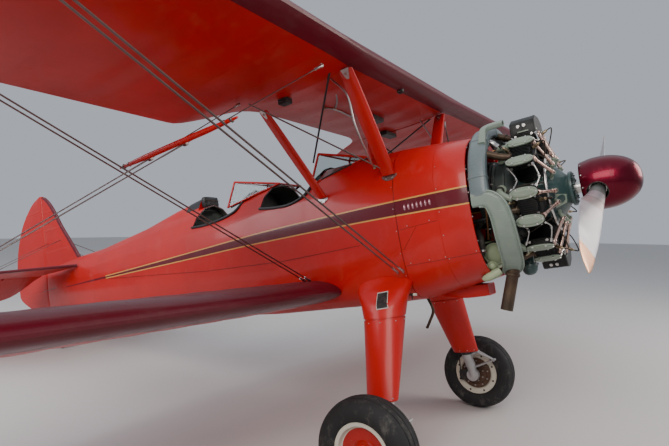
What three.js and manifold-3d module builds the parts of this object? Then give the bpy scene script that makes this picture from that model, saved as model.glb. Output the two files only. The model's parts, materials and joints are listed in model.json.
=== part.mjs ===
// Open-cockpit training biplane with a seven-cylinder radial engine, parked on its tail wheel.
// Millimetres. The aircraft's own frame has x forward, y to port and z up, and starts at the
// centre of the spinner's rear face. The aircraft group is then pitched nose up on its wheels.

import * as THREE from 'three';
import { mergeVertices } from 'three/addons/utils/BufferGeometryUtils.js';
import Module from 'manifold-3d';

const wasm = await Module();
wasm.setup();

// Attitude on the ground
const parkedPitch = THREE.MathUtils.degToRad(10.57);
const hubHeight = 1880;

// Clearances
const gap = 0.3;
const swingGap = 7;

// Fuselage: x of its joints
const noseFront = -608;
const firewall = -1130;
const frontDeckEnd = -1790;
const betweenCockpits = -2440;
const cockpitRear = -3400;
const rudderPost = -6560;
const skinThickness = 20;
const endWall = 25;
const cowlThickness = 12;
const pastSide = 600;

// Wings
const upperSpan = 9800;
const lowerSpan = 9500;
const chord = 1524;
const wingThickness = 196;
const wingCamber = 0.02;
const camberPeak = 0.2;
const upperFront = new THREE.Vector3(-987, 0, 1069);
const lowerFront = new THREE.Vector3(-1700, 0, -452);
const upperIncidence = THREE.MathUtils.degToRad(4);
const lowerIncidence = THREE.MathUtils.degToRad(3);
const dihedral = THREE.MathUtils.degToRad(1.4);
const centreHalf = 790;
const centreChord = 1040;
const cutoutEnd = 1100;
const tipRounding = 760;

// Ailerons, on the lower wings
const aileronInner = 2200;
const aileronOuter = 3980;
const aileronHinge = 1160;
const aileronNose = 34;

// Tail
const stabilizerHeight = 277;
const elevatorHinge = -6612;
const elevatorDroop = THREE.MathUtils.degToRad(28);
const rudderHinge = -6612;

// Struts and bracing
const strutTopY = 3300;
const strutFootY = 3080;
const frontSpar = 150;
const rearSpar = 905;
const barY = 2000;
const wireRadius = 4.5;
const wireSides = 5;
const wireSpacing = 44;
const wireInset = 60;
const landingTopY = 1000;

// Undercarriage
const wheelX = -1264;
const wheelY = 1004;
const wheelRadius = 314;
const wheelWidth = 206;
const rimRadius = 184;
const axleRadius = 24;
const tailWheelX = -6400;
const tailWheelRadius = 130;
const tailWheelWidth = 62;
const tailTrail = 95;

// Engine and propeller
const cylinderCount = 7;
const cylinderPlane = -270;
const crankcaseFlat = 214;
const spinnerLength = 330;
const spinnerRadius = 166;
const propellerX = 87;
const propellerRadius = 1240;
const bladeAngle = THREE.MathUtils.degToRad(-66.9);

// Colours
const red = 0xb01c18;
const maroon = 0x5c0f1e;
const greyGreen = 0x8a958c;
const black = 0x1c1c1e;
const cream = 0xd8d2c0;
const silver = 0xc8c8c8;

// Solids

function solid(geometry) {
  const bare = geometry.clone();
  bare.deleteAttribute('normal');
  bare.deleteAttribute('uv');
  const merged = mergeVertices(bare, 1e-3);
  return new wasm.Manifold(new wasm.Mesh({
    numProp: 3,
    vertProperties: new Float32Array(merged.attributes.position.array),
    triVerts: new Uint32Array(merged.index.array),
  }));
}

function surface(body) {
  const mesh = body.getMesh();
  const geometry = new THREE.BufferGeometry();
  geometry.setAttribute('position', new THREE.BufferAttribute(mesh.vertProperties, 3));
  geometry.setIndex(new THREE.BufferAttribute(mesh.triVerts, 1));
  return geometry;
}

function join(...geometries) {
  let whole = solid(geometries[0]);
  for (const piece of geometries.slice(1)) {
    whole = whole.add(solid(piece));
  }
  return surface(whole);
}

function cut(geometry, ...tools) {
  let rest = solid(geometry);
  for (const tool of tools) {
    rest = rest.subtract(solid(tool));
  }
  return surface(rest);
}

function common(geometry, other) {
  return surface(solid(geometry).intersect(solid(other)));
}

// Six times the signed volume, which is negative where the faces point inwards.
function signedVolume(points, faces) {
  let sum = 0;
  for (const [a, b, c] of faces) {
    sum += points[a].dot(new THREE.Vector3().crossVectors(points[b], points[c]));
  }
  return sum;
}

function centreOf(ring) {
  const sum = new THREE.Vector3();
  ring.forEach((point) => sum.add(point));
  return sum.divideScalar(ring.length);
}

// A closed skin over rings of equal length, with a flat cap at each end.
function loft(rings) {
  const count = rings[0].length;
  const points = [...rings.flat(), centreOf(rings[0]), centreOf(rings.at(-1))];
  const first = points.length - 2;
  const last = points.length - 1;
  const lastRing = (rings.length - 1) * count;
  const faces = [];
  for (let j = 0; j < count; j += 1) {
    const k = (j + 1) % count;
    faces.push([first, k, j], [last, lastRing + j, lastRing + k]);
    for (let i = 0; i < lastRing; i += count) {
      faces.push([i + j, i + k, i + count + j], [i + k, i + count + k, i + count + j]);
    }
  }
  if (signedVolume(points, faces) < 0) {
    faces.forEach((face) => face.reverse());
  }
  const geometry = new THREE.BufferGeometry().setFromPoints(points);
  geometry.setIndex(faces.flat());
  return geometry;
}

function rod(from, to, radius, sides = 12, endRadius = radius) {
  const along = new THREE.Vector3().subVectors(to, from);
  const geometry = new THREE.CylinderGeometry(endRadius, radius, along.length(), sides);
  const turn = new THREE.Quaternion();
  turn.setFromUnitVectors(new THREE.Vector3(0, 1, 0), along.clone().normalize());
  geometry.applyQuaternion(turn);
  const middle = new THREE.Vector3().addVectors(from, to).multiplyScalar(0.5);
  return geometry.translate(middle.x, middle.y, middle.z);
}

function block(low, high) {
  const size = new THREE.Vector3().subVectors(high, low);
  const middle = new THREE.Vector3().addVectors(low, high).multiplyScalar(0.5);
  return new THREE.BoxGeometry(size.x, size.y, size.z).translate(middle.x, middle.y, middle.z);
}

// Area under a profile of [place along x, radius] pairs, positive where it runs forwards.
function profileArea(profile) {
  let sum = 0;
  profile.forEach(([x, radius], i) => {
    const [nextX, nextRadius] = profile[(i + 1) % profile.length];
    sum += (nextX - x) * (nextRadius + radius) * 0.5;
  });
  return sum;
}

// A profile of [place along x, radius] pairs, turned about the thrust line.
function turned(profile, sides = 32) {
  const ordered = profileArea(profile) < 0 ? [...profile].reverse() : profile;
  const points = ordered.map(([x, radius]) => new THREE.Vector2(radius, x));
  return new THREE.LatheGeometry(points, sides).rotateZ(-Math.PI / 2);
}

// An outline of [x, z] points in side view, extended from one y to another.
function sidePlate(outline, fromY, toY) {
  const shape = new THREE.Shape(outline.map(([x, z]) => new THREE.Vector2(x, z)));
  const geometry = new THREE.ExtrudeGeometry(shape, { depth: toY - fromY, bevelEnabled: false });
  return geometry.rotateX(Math.PI / 2).translate(0, toY, 0);
}

// A streamlined strut: an oval section, wider along x, between two points.
function strut(from, to, width, thickness, sides = 12) {
  const ring = (centre) => {
    const points = [];
    for (let i = 0; i < sides; i += 1) {
      const angle = (2 * Math.PI * i) / sides;
      const x = (width / 2) * Math.cos(angle);
      const y = (thickness / 2) * Math.sin(angle);
      points.push(new THREE.Vector3(centre.x + x, centre.y + y, centre.z));
    }
    return points;
  };
  return loft([ring(from), ring(to)]);
}

function vector(x, y, z) {
  return new THREE.Vector3(x, y, z);
}

// Fuselage

// x, half width, top, bottom, height of the greatest width, squareness above it and below it
const fuselageStations = [
  [noseFront, 440, 478, -500, -20, 2.4, 2.7],
  [-850, 443, 510, -545, -25, 2.4, 2.9],
  [-1130, 440, 538, -592, -30, 2.4, 3.2],
  [-1700, 425, 562, -600, -40, 2.3, 3.6],
  [-2500, 410, 560, -590, -40, 2.2, 3.6],
  [-3400, 372, 560, -545, -10, 1.9, 3.2],
  [-4360, 300, 510, -462, 10, 1.8, 2.8],
  [-5200, 222, 420, -388, 30, 1.9, 2.6],
  [-5900, 145, 398, -325, 50, 2.0, 2.4],
  [-6560, 40, 345, -266, 50, 2.2, 2.4],
];
const ringSides = 28;

function stationAt(x) {
  const stations = fuselageStations;
  const index = stations.findIndex((station, i) => i > 0 && station[0] <= x);
  const after = stations[index < 0 ? stations.length - 1 : index];
  const before = stations[stations.indexOf(after) - 1];
  const part = (x - before[0]) / (after[0] - before[0]);
  return before.map((value, i) => THREE.MathUtils.lerp(value, after[i], part));
}

// The cross-section at x, grown by a margin all round.
function fuselageRing(x, margin) {
  const [, halfWidth, top, bottom, middle, squareTop, squareBottom] = stationAt(x);
  const points = [];
  for (let i = 0; i < ringSides; i += 1) {
    const angle = (2 * Math.PI * i) / ringSides;
    const above = Math.sin(angle) >= 0;
    const power = 2 / (above ? squareTop : squareBottom);
    const across = Math.sign(Math.cos(angle)) * Math.abs(Math.cos(angle)) ** power;
    const height = above ? top - middle + margin : middle - bottom + margin;
    const up = Math.sign(Math.sin(angle)) * Math.abs(Math.sin(angle)) ** power;
    points.push(vector(x, (halfWidth + margin) * across, middle + height * up));
  }
  return points;
}

function fuselageLoft(front, rear, margin) {
  const between = fuselageStations.map(([x]) => x).filter((x) => x < front - 1 && x > rear + 1);
  return loft([front, ...between, rear].map((x) => fuselageRing(x, margin)));
}

const fuselageCutter = fuselageLoft(noseFront, rudderPost, gap);

function noseCowl() {
  const outer = fuselageLoft(noseFront, firewall + gap, 0);
  const inner = fuselageLoft(noseFront + 10, firewall - 10, -cowlThickness);
  return cut(outer, inner);
}

// Side profile of each cockpit opening: rear rim, low side rim, front rim, clear above
const frontOpening = [
  [-2430, 330], [-2250, 297], [-2040, 288], [-1880, 370], [-1800, 640], [-2400, 640],
];
const rearOpening = [
  [-3345, 330], [-3115, 315], [-2860, 338], [-2700, 388], [-2640, 640], [-3310, 640],
];

// The skin round the cockpits from one x back to another, with both openings cut.
function cockpitSection(front, rear) {
  const outer = fuselageLoft(front, rear + gap, 0);
  const inner = fuselageLoft(firewall - endWall, cockpitRear + skinThickness, -skinThickness);
  const openings = [frontOpening, rearOpening].map((outline) => sidePlate(outline, -pastSide, pastSide));
  return cut(outer, inner, ...openings);
}

// x and height of the headrest fairing's ridge, and its half width
const ridgeFoot = 400;
const ridgeStations = [
  [-3401, 655, 150],
  [-3830, 596, 130],
  [-4400, 505, 60],
];

function rearFuselage() {
  const body = fuselageLoft(cockpitRear, rudderPost, 0);
  const ridge = loft(ridgeStations.map(([x, top, half]) => {
    const points = [];
    for (let i = 0; i < 16; i += 1) {
      const angle = (2 * Math.PI * i) / 16;
      const z = ridgeFoot + (top - ridgeFoot) * Math.sin(angle);
      points.push(vector(x, half * Math.cos(angle), z));
    }
    return points;
  }));
  return join(body, ridge);
}

function cockpitInside(margin) {
  const front = firewall - endWall - gap;
  return fuselageLoft(front, cockpitRear + skinThickness + gap, -skinThickness - margin);
}

// Cockpit floor
const floorTop = -425;
const floorThickness = 14;
const floorFront = -1165;
const floorRear = -3370;

// Control sticks: x of the feet, then how far behind and above them the bar and the grip end
const stickFeet = [-1850, -2750];
const barEnd = [60, 470];
const gripEnd = [78, 590];
const barRadius = 14;
const gripRadius = 20;
const footRadius = 45;
const footTopRadius = 25;
const footHeight = 40;

function controlStick(foot) {
  const at = (back, above) => vector(foot - back, 0, floorTop + above);
  const base = rod(at(0, -5), at(0, footHeight), footRadius, 12, footTopRadius);
  const bar = rod(at(0, 0), at(...barEnd), barRadius, 10);
  const grip = rod(at(barEnd[0], barEnd[1] - 5), at(...gripEnd), gripRadius);
  return join(base, bar, grip);
}

function cockpitFloor() {
  const slab = block(
    vector(floorRear, -pastSide, floorTop - floorThickness),
    vector(floorFront, pastSide, floorTop),
  );
  return join(common(slab, cockpitInside(gap)), ...stickFeet.map(controlStick));
}

const panelThickness = 12;
const panelBottom = 130;

function instrumentPanel(x) {
  const low = vector(x - panelThickness, -pastSide, panelBottom);
  return common(block(low, vector(x, pastSide, pastSide)), cockpitInside(gap));
}

// Side view of the bucket seat from its pan's rear edge, and of the hollow in it
const bucketOutline = [[0, -30], [360, -30], [375, 90], [60, 180], [-40, 380], [-75, 380]];
const bucketHollow = [[30, 0], [420, 20], [420, 590], [-40, 590]];
const bucketHalf = 225;
const bucketWall = 20;
const panHeight = 235;

// Seat legs: places along and aside, and radius
const seatLegsAlong = [40, 320];
const seatLegAside = 190;
const seatLegRadius = 14;

function seat(x) {
  const pan = floorTop + panHeight;
  const placed = (outline) => outline.map(([along, above]) => [x + along, pan + above]);
  const outer = sidePlate(placed(bucketOutline), -bucketHalf, bucketHalf);
  const inside = bucketHalf - bucketWall;
  const legs = [];
  for (const side of [-1, 1]) {
    for (const along of seatLegsAlong) {
      const top = vector(x + along, side * seatLegAside, pan - bucketWall);
      legs.push(rod(vector(top.x, top.y, floorTop + gap), top, seatLegRadius, 8));
    }
  }
  return join(cut(outer, sidePlate(placed(bucketHollow), -inside, inside)), ...legs);
}

// Corners of the starboard side pane: front foot, upper rear corner, rear foot
const frontScreen = [[-1440, 150, 548], [-1822, 235, 662], [-1878, 318, 412]];
const rearScreen = [[-2330, 150, 542], [-2785, 225, 652], [-2830, 300, 424]];

// A three-pane windscreen: a frame of thin tubes and the flat panes between them.
function windscreen(corners) {
  const frameRadius = 8;
  const sides = 4;
  const paneThickness = 4;
  const [foot, top, rear] = corners.map(([x, y, z]) => [vector(x, -y, z), vector(x, y, z)]);
  const pane = (ring) => {
    const across = new THREE.Vector3().subVectors(ring[1], ring[0]);
    const along = new THREE.Vector3().subVectors(ring[2], ring[0]);
    const normal = across.cross(along).normalize().multiplyScalar(paneThickness / 2);
    const front = ring.map((point) => point.clone().add(normal));
    const back = ring.map((point) => point.clone().sub(normal));
    return loft([front, back]);
  };
  const pieces = [pane([foot[0], foot[1], top[1], top[0]])];
  pieces.push(rod(top[0], top[1], frameRadius, sides));
  for (const i of [0, 1]) {
    pieces.push(pane([foot[i], top[i], rear[i]]));
    pieces.push(rod(foot[i], top[i], frameRadius, sides));
    pieces.push(rod(top[i], rear[i], frameRadius, sides));
  }
  return cut(join(...pieces), fuselageCutter);
}

const cockpitCutter = fuselageLoft(firewall, cockpitRear, gap);

// Headrest: half width, front, and heights of the pad and of the post under it
const padHalf = 115;
const padFront = -3330;
const padHeights = [564, 650];
const postHalf = 60;
const postFront = -3372;
const postHeights = [520, 600];

function headrest() {
  const rear = cockpitRear + gap;
  const pad = block(vector(rear, -padHalf, padHeights[0]), vector(padFront, padHalf, padHeights[1]));
  const post = block(
    vector(rear, -postHalf, postHeights[0]),
    vector(postFront, postHalf, postHeights[1]),
  );
  return cut(join(pad, post), cockpitCutter);
}

// Wings

// A ring of the wing's section at y: nose x, chord, thickness and height, all in the wing's frame.
function wingRing(y, nose, length, thickness, skin) {
  const steps = 10;
  const upper = [];
  const lower = [];
  for (let i = 0; i <= steps; i += 1) {
    const t = (1 - Math.cos((Math.PI * i) / steps)) / 2;
    const halfBase = 0.2969 * Math.sqrt(t) - 0.126 * t - 0.3516 * t ** 2 + 0.2843 * t ** 3;
    const half = 5 * thickness * (halfBase - 0.1036 * t ** 4) + 2 * t + skin;
    const rise = t < camberPeak
      ? (wingCamber / camberPeak ** 2) * (2 * camberPeak * t - t ** 2)
      : (wingCamber / (1 - camberPeak) ** 2) * (1 - 2 * camberPeak + 2 * camberPeak * t - t ** 2);
    const middle = rise * length;
    const x = nose - length * t + skin * (1 - 2 * t);
    upper.push(vector(x, y, middle + half));
    lower.push(vector(x, y, middle - half));
  }
  return [...upper.reverse(), ...lower.slice(1)];
}

// Stations of one half wing from root to rounded tip: y, nose x, chord, thickness
function halfWingStations(root, halfSpan) {
  const stations = [...root];
  for (const part of [0, 0.35, 0.6, 0.8, 0.92, 0.985]) {
    const round = Math.sqrt(1 - part ** 2);
    const lost = chord * (1 - round);
    stations.push([halfSpan - tipRounding * (1 - part), -0.4 * lost, chord * round,
      wingThickness * round]);
  }
  return stations;
}

// Moves a wing drawn about its own nose to its place on the aircraft.
function placeWing(geometry, front, incidence, side) {
  const turn = new THREE.Matrix4().makeRotationX(side * dihedral);
  const tilt = new THREE.Matrix4().makeRotationY(-incidence);
  const move = new THREE.Matrix4().makeTranslation(front.x, front.y, front.z);
  return geometry.applyMatrix4(move.multiply(turn).multiply(tilt));
}

function wingLoft(stations, side, skin) {
  return loft(stations.map(([y, nose, length, thick]) => (
    wingRing(side * y, nose, length, thick, skin)
  )));
}

function centreWing(skin = 0) {
  const stations = [-centreHalf, -600, 600, centreHalf].map((y) => {
    const length = Math.abs(y) > 700 ? centreChord + 55 : centreChord;
    return [y, 0, length, wingThickness];
  });
  const geometry = wingLoft(stations, 1, skin);
  const tilt = new THREE.Matrix4().makeRotationY(-upperIncidence);
  return geometry.applyMatrix4(tilt).translate(upperFront.x, 0, upperFront.z);
}

function upperWing(side, skin = 0) {
  const root = [
    [-20, 0, centreChord + 45, wingThickness],
    [0, 0, centreChord + 55, wingThickness],
    [115, 0, 1270, wingThickness],
    [215, 0, 1440, wingThickness],
    [cutoutEnd - centreHalf, 0, chord, wingThickness],
  ];
  const stations = halfWingStations(root, upperSpan / 2 - centreHalf);
  const joint = vector(upperFront.x, side * centreHalf, upperFront.z);
  const wing = placeWing(wingLoft(stations, side, skin), joint, upperIncidence, side);
  const inboard = block(vector(-3000, -centreHalf - gap, 500), vector(0, centreHalf + gap, 1500));
  return cut(wing, inboard);
}

function lowerWingWhole(side, skin = 0) {
  const stations = halfWingStations([[250, 0, chord, wingThickness]], lowerSpan / 2);
  return wingLoft(stations, side, skin);
}

// Height of the aileron's hinge line in the wing's own frame
const aileronHingeZ = 4;

function aileronBlank(side, inner, outer, front) {
  return block(
    vector(-chord - 60, Math.min(side * inner, side * outer), -200),
    vector(front, Math.max(side * inner, side * outer), 200),
  );
}

// Hinge tongues: places along the span, half sizes, the pin and its bore
const aileronBrackets = [2380, 3090, 3800];
const bracketHalf = 6;
const tongueHalf = 15;
const slotHalf = 11;
const eyeHalf = 30;
const hingePin = 8;
const hingeBore = 8.8;

function lowerWing(side, skin = 0) {
  const whole = lowerWingWhole(side, skin);
  const bay = aileronBlank(side, aileronInner - swingGap, aileronOuter + swingGap,
    -aileronHinge + aileronNose + swingGap);
  let wing = cut(whole, bay);
  for (const y of aileronBrackets) {
    const low = vector(-aileronHinge - tongueHalf, side * y - bracketHalf, aileronHingeZ - tongueHalf);
    const high = vector(-aileronHinge + 90, side * y + bracketHalf, aileronHingeZ + tongueHalf);
    wing = join(wing, block(low, high));
    const eye = rod(vector(-aileronHinge, side * y - eyeHalf, aileronHingeZ),
      vector(-aileronHinge, side * y + eyeHalf, aileronHingeZ), hingeBore, 10);
    wing = cut(wing, eye);
  }
  return cut(placeWing(wing, lowerFront, lowerIncidence, side), fuselageCutter);
}

function aileron(side) {
  const whole = lowerWingWhole(side);
  let blade = common(whole, aileronBlank(side, aileronInner, aileronOuter, -aileronHinge));
  const pinFrom = vector(-aileronHinge, side * aileronInner, aileronHingeZ);
  const pinTo = vector(-aileronHinge, side * aileronOuter, aileronHingeZ);
  blade = join(blade, rod(pinFrom, pinTo, aileronNose, 12));
  for (const y of aileronBrackets) {
    const low = vector(-aileronHinge - aileronNose, side * y - slotHalf, -90);
    const high = vector(-aileronHinge + 60, side * y + slotHalf, 90);
    blade = cut(blade, block(low, high));
  }
  blade = join(blade, rod(pinFrom, pinTo, hingePin, 10));
  return placeWing(blade, lowerFront, lowerIncidence, side);
}

// Struts and bracing

// A point on the wing's chord line, a distance behind its nose, at y.
function chordPoint(front, incidence, rise, back, y) {
  const spread = Math.abs(y) - rise;
  const drop = Math.sin(incidence) * back;
  const climb = Math.max(spread, 0) * Math.tan(dihedral);
  return vector(front.x - back * Math.cos(incidence), y, front.z - drop + climb);
}

function upperPoint(back, y) {
  return chordPoint(upperFront, upperIncidence, centreHalf, back, y);
}

function lowerPoint(back, y) {
  return chordPoint(lowerFront, lowerIncidence, 0, back, y);
}

function lowerCutter(side) {
  return placeWing(lowerWingWhole(side, gap), lowerFront, lowerIncidence, side);
}

// Interplane struts: spar at the foot, spar at the top, width, thickness
const interplaneStruts = [[0, 0, 105, 36], [1, 1, 90, 32], [1, 0, 70, 28]];

function interplaneStrut(side) {
  const top = [frontSpar, rearSpar].map((back) => upperPoint(back, side * strutTopY));
  const foot = [frontSpar, rearSpar].map((back) => lowerPoint(back, side * strutFootY));
  const legs = interplaneStruts.map(([from, to, width, thickness]) => (
    strut(foot[from], top[to], width, thickness)
  ));
  return cut(join(...legs), upperWing(side, gap), lowerCutter(side));
}

// Cabane struts: foot x, y, z, top distance behind the wing's nose, top y, width, thickness
const cabaneStruts = [
  [-1157, 345, 250, 150, 845, 112, 44],
  [-1735, 370, 250, 905, 845, 84, 36],
];

function cabane(side) {
  const tops = cabaneStruts.map(([, , , back, y]) => upperPoint(back, side * y));
  const pieces = cabaneStruts.map(([x, y, z, , , width, thickness], i) => (
    strut(vector(x, side * y, z), tops[i], width, thickness)
  ));
  return pieces.map((piece) => (
    cut(piece, fuselageCutter, centreWing(gap), upperWing(side, gap))
  ));
}

// Fuselage fittings of the flying wires: x, y, z
const flyingFeet = [[-1175, 425, -345], [-1925, 412, -352]];

// The bar that ties the crossings, and where along it the landing wires pass
const barRadiusMiddle = 15;
const barOverhang = 60;
const landingPasses = [0.42, 0.78];
const landingTopBacks = [frontSpar + 40, rearSpar + 10];

function bracing(side) {
  const outer = [frontSpar, rearSpar].map((back) => upperPoint(back, side * (strutTopY - wireInset)));
  const feet = flyingFeet.map(([x, y, z]) => vector(x, side * y, z));
  const crossings = feet.map((foot, i) => {
    const part = (barY - Math.abs(foot.y)) / (Math.abs(outer[i].y) - Math.abs(foot.y));
    return new THREE.Vector3().lerpVectors(foot, outer[i], part);
  });
  const ahead = new THREE.Vector3().subVectors(crossings[0], crossings[1]).normalize();
  const barEnds = [
    crossings[0].clone().addScaledVector(ahead, barOverhang),
    crossings[1].clone().addScaledVector(ahead, -barOverhang),
  ];
  const pieces = [rod(barEnds[0], barEnds[1], barRadiusMiddle, 12)];
  const doubled = (from, through, to) => {
    for (const shift of [-wireSpacing / 2, wireSpacing / 2]) {
      const [a, b, c] = [from, through, to].map((p) => vector(p.x + shift, p.y, p.z));
      pieces.push(rod(a, b, wireRadius, wireSides), rod(b, c, wireRadius, wireSides));
    }
  };
  feet.forEach((foot, i) => doubled(foot, crossings[i], outer[i]));
  const landingTops = landingTopBacks.map((back) => upperPoint(back, side * landingTopY));
  const landingFeet = [frontSpar, rearSpar].map((back) => (
    lowerPoint(back, side * (strutFootY - wireInset))
  ));
  landingPasses.forEach((part, i) => {
    const through = new THREE.Vector3().lerpVectors(crossings[0], crossings[1], part);
    pieces.push(rod(landingTops[i], through, wireRadius, wireSides));
    pieces.push(rod(through, landingFeet[i], wireRadius, wireSides));
  });
  return cut(join(...pieces), fuselageCutter, upperWing(side, gap), lowerCutter(side));
}

// Tail

// A thin surface over stations along its span: a round front edge and a flat or round rear edge.
function tailRing(front, rear, frontHalf, rearHalf, place) {
  const points = [];
  for (let i = 0; i <= 6; i += 1) {
    const angle = Math.PI * (0.5 - i / 6);
    points.push(place(front - frontHalf + frontHalf * Math.cos(angle), frontHalf * Math.sin(angle)));
  }
  points.push(place(rear, -rearHalf), place(rear, rearHalf));
  return points;
}

// Fin: z, leading edge x
const finStations = [
  [330, -5740], [420, -5800], [670, -5990], [870, -6145], [1050, -6262], [1180, -6360],
  [1270, -6450], [1325, -6530],
];
const hingeRoom = 32;
const finRear = rudderHinge + hingeRoom + swingGap;
const hingeHeights = [60, 560, 1080];
const rudderNose = 24;
const finPostHeights = [-255, 420];
const finPostHalf = 12;

// Hinge tongues on the fixed surface around a pin of the moving one, along z at each height.
function finBrackets(geometry) {
  let body = geometry;
  for (const z of hingeHeights) {
    const tongue = block(
      vector(rudderHinge - tongueHalf, -tongueHalf, z - bracketHalf),
      vector(finRear + 8, tongueHalf, z + bracketHalf),
    );
    const low = vector(rudderHinge, 0, z - eyeHalf);
    const eye = rod(low, vector(rudderHinge, 0, z + eyeHalf), hingeBore, 10);
    body = cut(join(body, tongue), eye);
  }
  return body;
}

function fin() {
  const rings = finStations.map(([z, front]) => (
    tailRing(front, finRear, 13, 23, (x, y) => vector(x, y, z))
  ));
  const blade = cut(loft(rings), fuselageLoft(-5000, rudderPost - 10, gap));
  const post = block(
    vector(finRear, -finPostHalf, finPostHeights[0]),
    vector(rudderPost - gap, finPostHalf, finPostHeights[1]),
  );
  return finBrackets(join(blade, post));
}

// Rudder: z, trailing edge x
const rudderStations = [
  [-245, -6760], [-200, -6960], [-120, -7165], [0, -7372], [130, -7415], [400, -7432],
  [650, -7385], [910, -7270], [1080, -7140], [1230, -6960], [1310, -6820], [1345, -6700],
];

function rudder() {
  const rings = rudderStations.map(([z, rear]) => (
    tailRing(rudderHinge + rudderNose, rear, rudderNose, 5, (x, y) => vector(x, y, z))
  ));
  let blade = loft(rings);
  for (const z of hingeHeights) {
    const low = vector(rudderHinge - eyeHalf, -60, z - slotHalf);
    blade = cut(blade, block(low, vector(rudderHinge + 60, 60, z + slotHalf)));
  }
  const pin = rod(vector(rudderHinge, 0, -230), vector(rudderHinge, 0, 1300), hingePin, 10);
  return join(blade, pin);
}

// Stabilizer: y, leading edge x
const stabilizerStations = [
  [20, -5570], [300, -5680], [1150, -6010], [1420, -6130], [1600, -6250], [1700, -6370],
  [1748, -6500],
];
const stabilizerRear = elevatorHinge + hingeRoom + swingGap;
const elevatorBrackets = [560, 1360];

function stabilizer(side) {
  const rings = stabilizerStations.map(([y, front]) => (
    tailRing(front, stabilizerRear, 16, 23, (x, z) => vector(x, side * y, stabilizerHeight + z))
  ));
  let blade = cut(loft(rings), fuselageCutter, block(vector(-7000, -26, 0), vector(-5000, 26, 600)));
  for (const y of elevatorBrackets) {
    const low = vector(elevatorHinge - tongueHalf, side * y - bracketHalf, stabilizerHeight - tongueHalf);
    const high = vector(stabilizerRear + 40, side * y + bracketHalf, stabilizerHeight + tongueHalf);
    const eyeFrom = vector(elevatorHinge, side * y - eyeHalf, stabilizerHeight);
    const eyeTo = vector(elevatorHinge, side * y + eyeHalf, stabilizerHeight);
    blade = cut(join(blade, block(low, high)), rod(eyeFrom, eyeTo, hingeBore, 10));
  }
  return blade;
}

// Elevator half, drawn level about its hinge line: y, trailing edge x
const elevatorStations = [
  [95, -60], [400, -560], [1300, -560], [1540, -500], [1680, -390], [1755, -230],
];
const elevatorNose = 24;
const elevatorPin = [60, 1700];

function elevator(side) {
  const nose = elevatorNose;
  const rings = elevatorStations.map(([y, rear]) => (
    tailRing(nose, rear, nose, 5, (x, z) => vector(x, side * y, z))
  ));
  let blade = loft(rings);
  for (const y of elevatorBrackets) {
    const low = vector(-34, side * y - slotHalf, -60);
    blade = cut(blade, block(low, vector(60, side * y + slotHalf, 60)));
  }
  const [pinFrom, pinTo] = elevatorPin.map((y) => vector(0, side * y, 0));
  return join(blade, rod(pinFrom, pinTo, hingePin, 10));
}

// Undercarriage

// Leg fairing sections: z, y, front x, rear x, thickness
const legStations = [
  [-380, 290, -1130, -1560, 200],
  [-440, 370, -1112, -1545, 220],
  [-480, 430, -1108, -1520, 232],
  [-560, 505, -1116, -1456, 232],
  [-655, 548, -1127, -1427, 216],
  [-1138, 765, -1150, -1368, 97],
];

function legRing([z, y, front, rear, thickness], side) {
  const points = [];
  const middle = (front + rear) / 2;
  for (let i = 0; i < 18; i += 1) {
    const angle = (2 * Math.PI * i) / 18;
    const x = middle + ((front - rear) / 2) * Math.cos(angle);
    points.push(vector(x, side * y + (thickness / 2) * Math.sin(angle), z));
  }
  return points;
}

function legFairing(side) {
  const leg = loft(legStations.map((station) => legRing(station, side)));
  return cut(leg, fuselageCutter);
}

const pitchSine = Math.sin(parkedPitch);
const pitchCosine = Math.cos(parkedPitch);

// Height in the aircraft's frame of a wheel centre that stands on the ground.
function wheelHeight(x, radius) {
  return (radius - hubHeight - x * pitchSine) / pitchCosine;
}

const wheelZ = wheelHeight(wheelX, wheelRadius);
const legEnd = legStations.at(-1);

// Shock strut below the fairing: radius, length of its upright end, y and height of its knee
const shockRadius = 40;
const shockUpright = 30;
const knee = [812, -1250];
const hubY = 862;
const hubFlare = 46;

// Axle: inner and outer ends, and the flange on it
const axleEnds = [830, 1085];
const flangeRadius = 52;
const flangeFaces = [826, 878];

// Torque link: distance ahead of the leg, y and height of its upper end and of its joint, and how
// far its foot stands ahead of, aside from and above the end of the strut; y and height of its lug
const linkRadius = 12;
const linkTop = [84, 815, -1150];
const linkJoint = [207, 840, -1233];
const linkFoot = [34, -8, 70];
const linkLug = [780, -1172];

// Brake arm: x behind and ahead of the axle, y of its faces, half height
const armReach = [-130, 10];
const armFaces = [862, 884];
const armHalf = 45;

function axle(side) {
  const at = (x, y, z) => vector(x, side * y, z);
  const legMiddle = (legEnd[2] + legEnd[3]) / 2;
  const shoulder = at(legMiddle, legEnd[1], legEnd[0] - shockUpright);
  const kneePoint = at(legMiddle, ...knee);
  const [linkFrom, linkTo] = [linkTop, linkJoint].map(([ahead, y, z]) => at(legMiddle + ahead, y, z));
  const linkEnd = at(wheelX + linkFoot[0], hubY + linkFoot[1], wheelZ + linkFoot[2]);
  const [armNear, armFar] = armFaces.map((y) => side * y);
  const pieces = [
    rod(at(legMiddle, legEnd[1], legEnd[0] - gap), shoulder, shockRadius, 10),
    rod(shoulder, kneePoint, shockRadius, 10),
    rod(kneePoint, at(wheelX, hubY, wheelZ), shockRadius, 10, hubFlare),
    rod(at(wheelX, axleEnds[0], wheelZ), at(wheelX, axleEnds[1], wheelZ), axleRadius, 14),
    rod(at(wheelX, flangeFaces[0], wheelZ), at(wheelX, flangeFaces[1], wheelZ), flangeRadius, 14),
    rod(at(legMiddle, ...linkLug), linkFrom, linkRadius + 2, 8),
    rod(linkFrom, linkTo, linkRadius, 8),
    rod(linkTo, linkEnd, linkRadius, 8),
    block(
      vector(wheelX + armReach[0], Math.min(armNear, armFar), wheelZ - armHalf),
      vector(wheelX + armReach[1], Math.max(armNear, armFar), wheelZ + armHalf),
    ),
  ];
  return join(...pieces);
}

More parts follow.
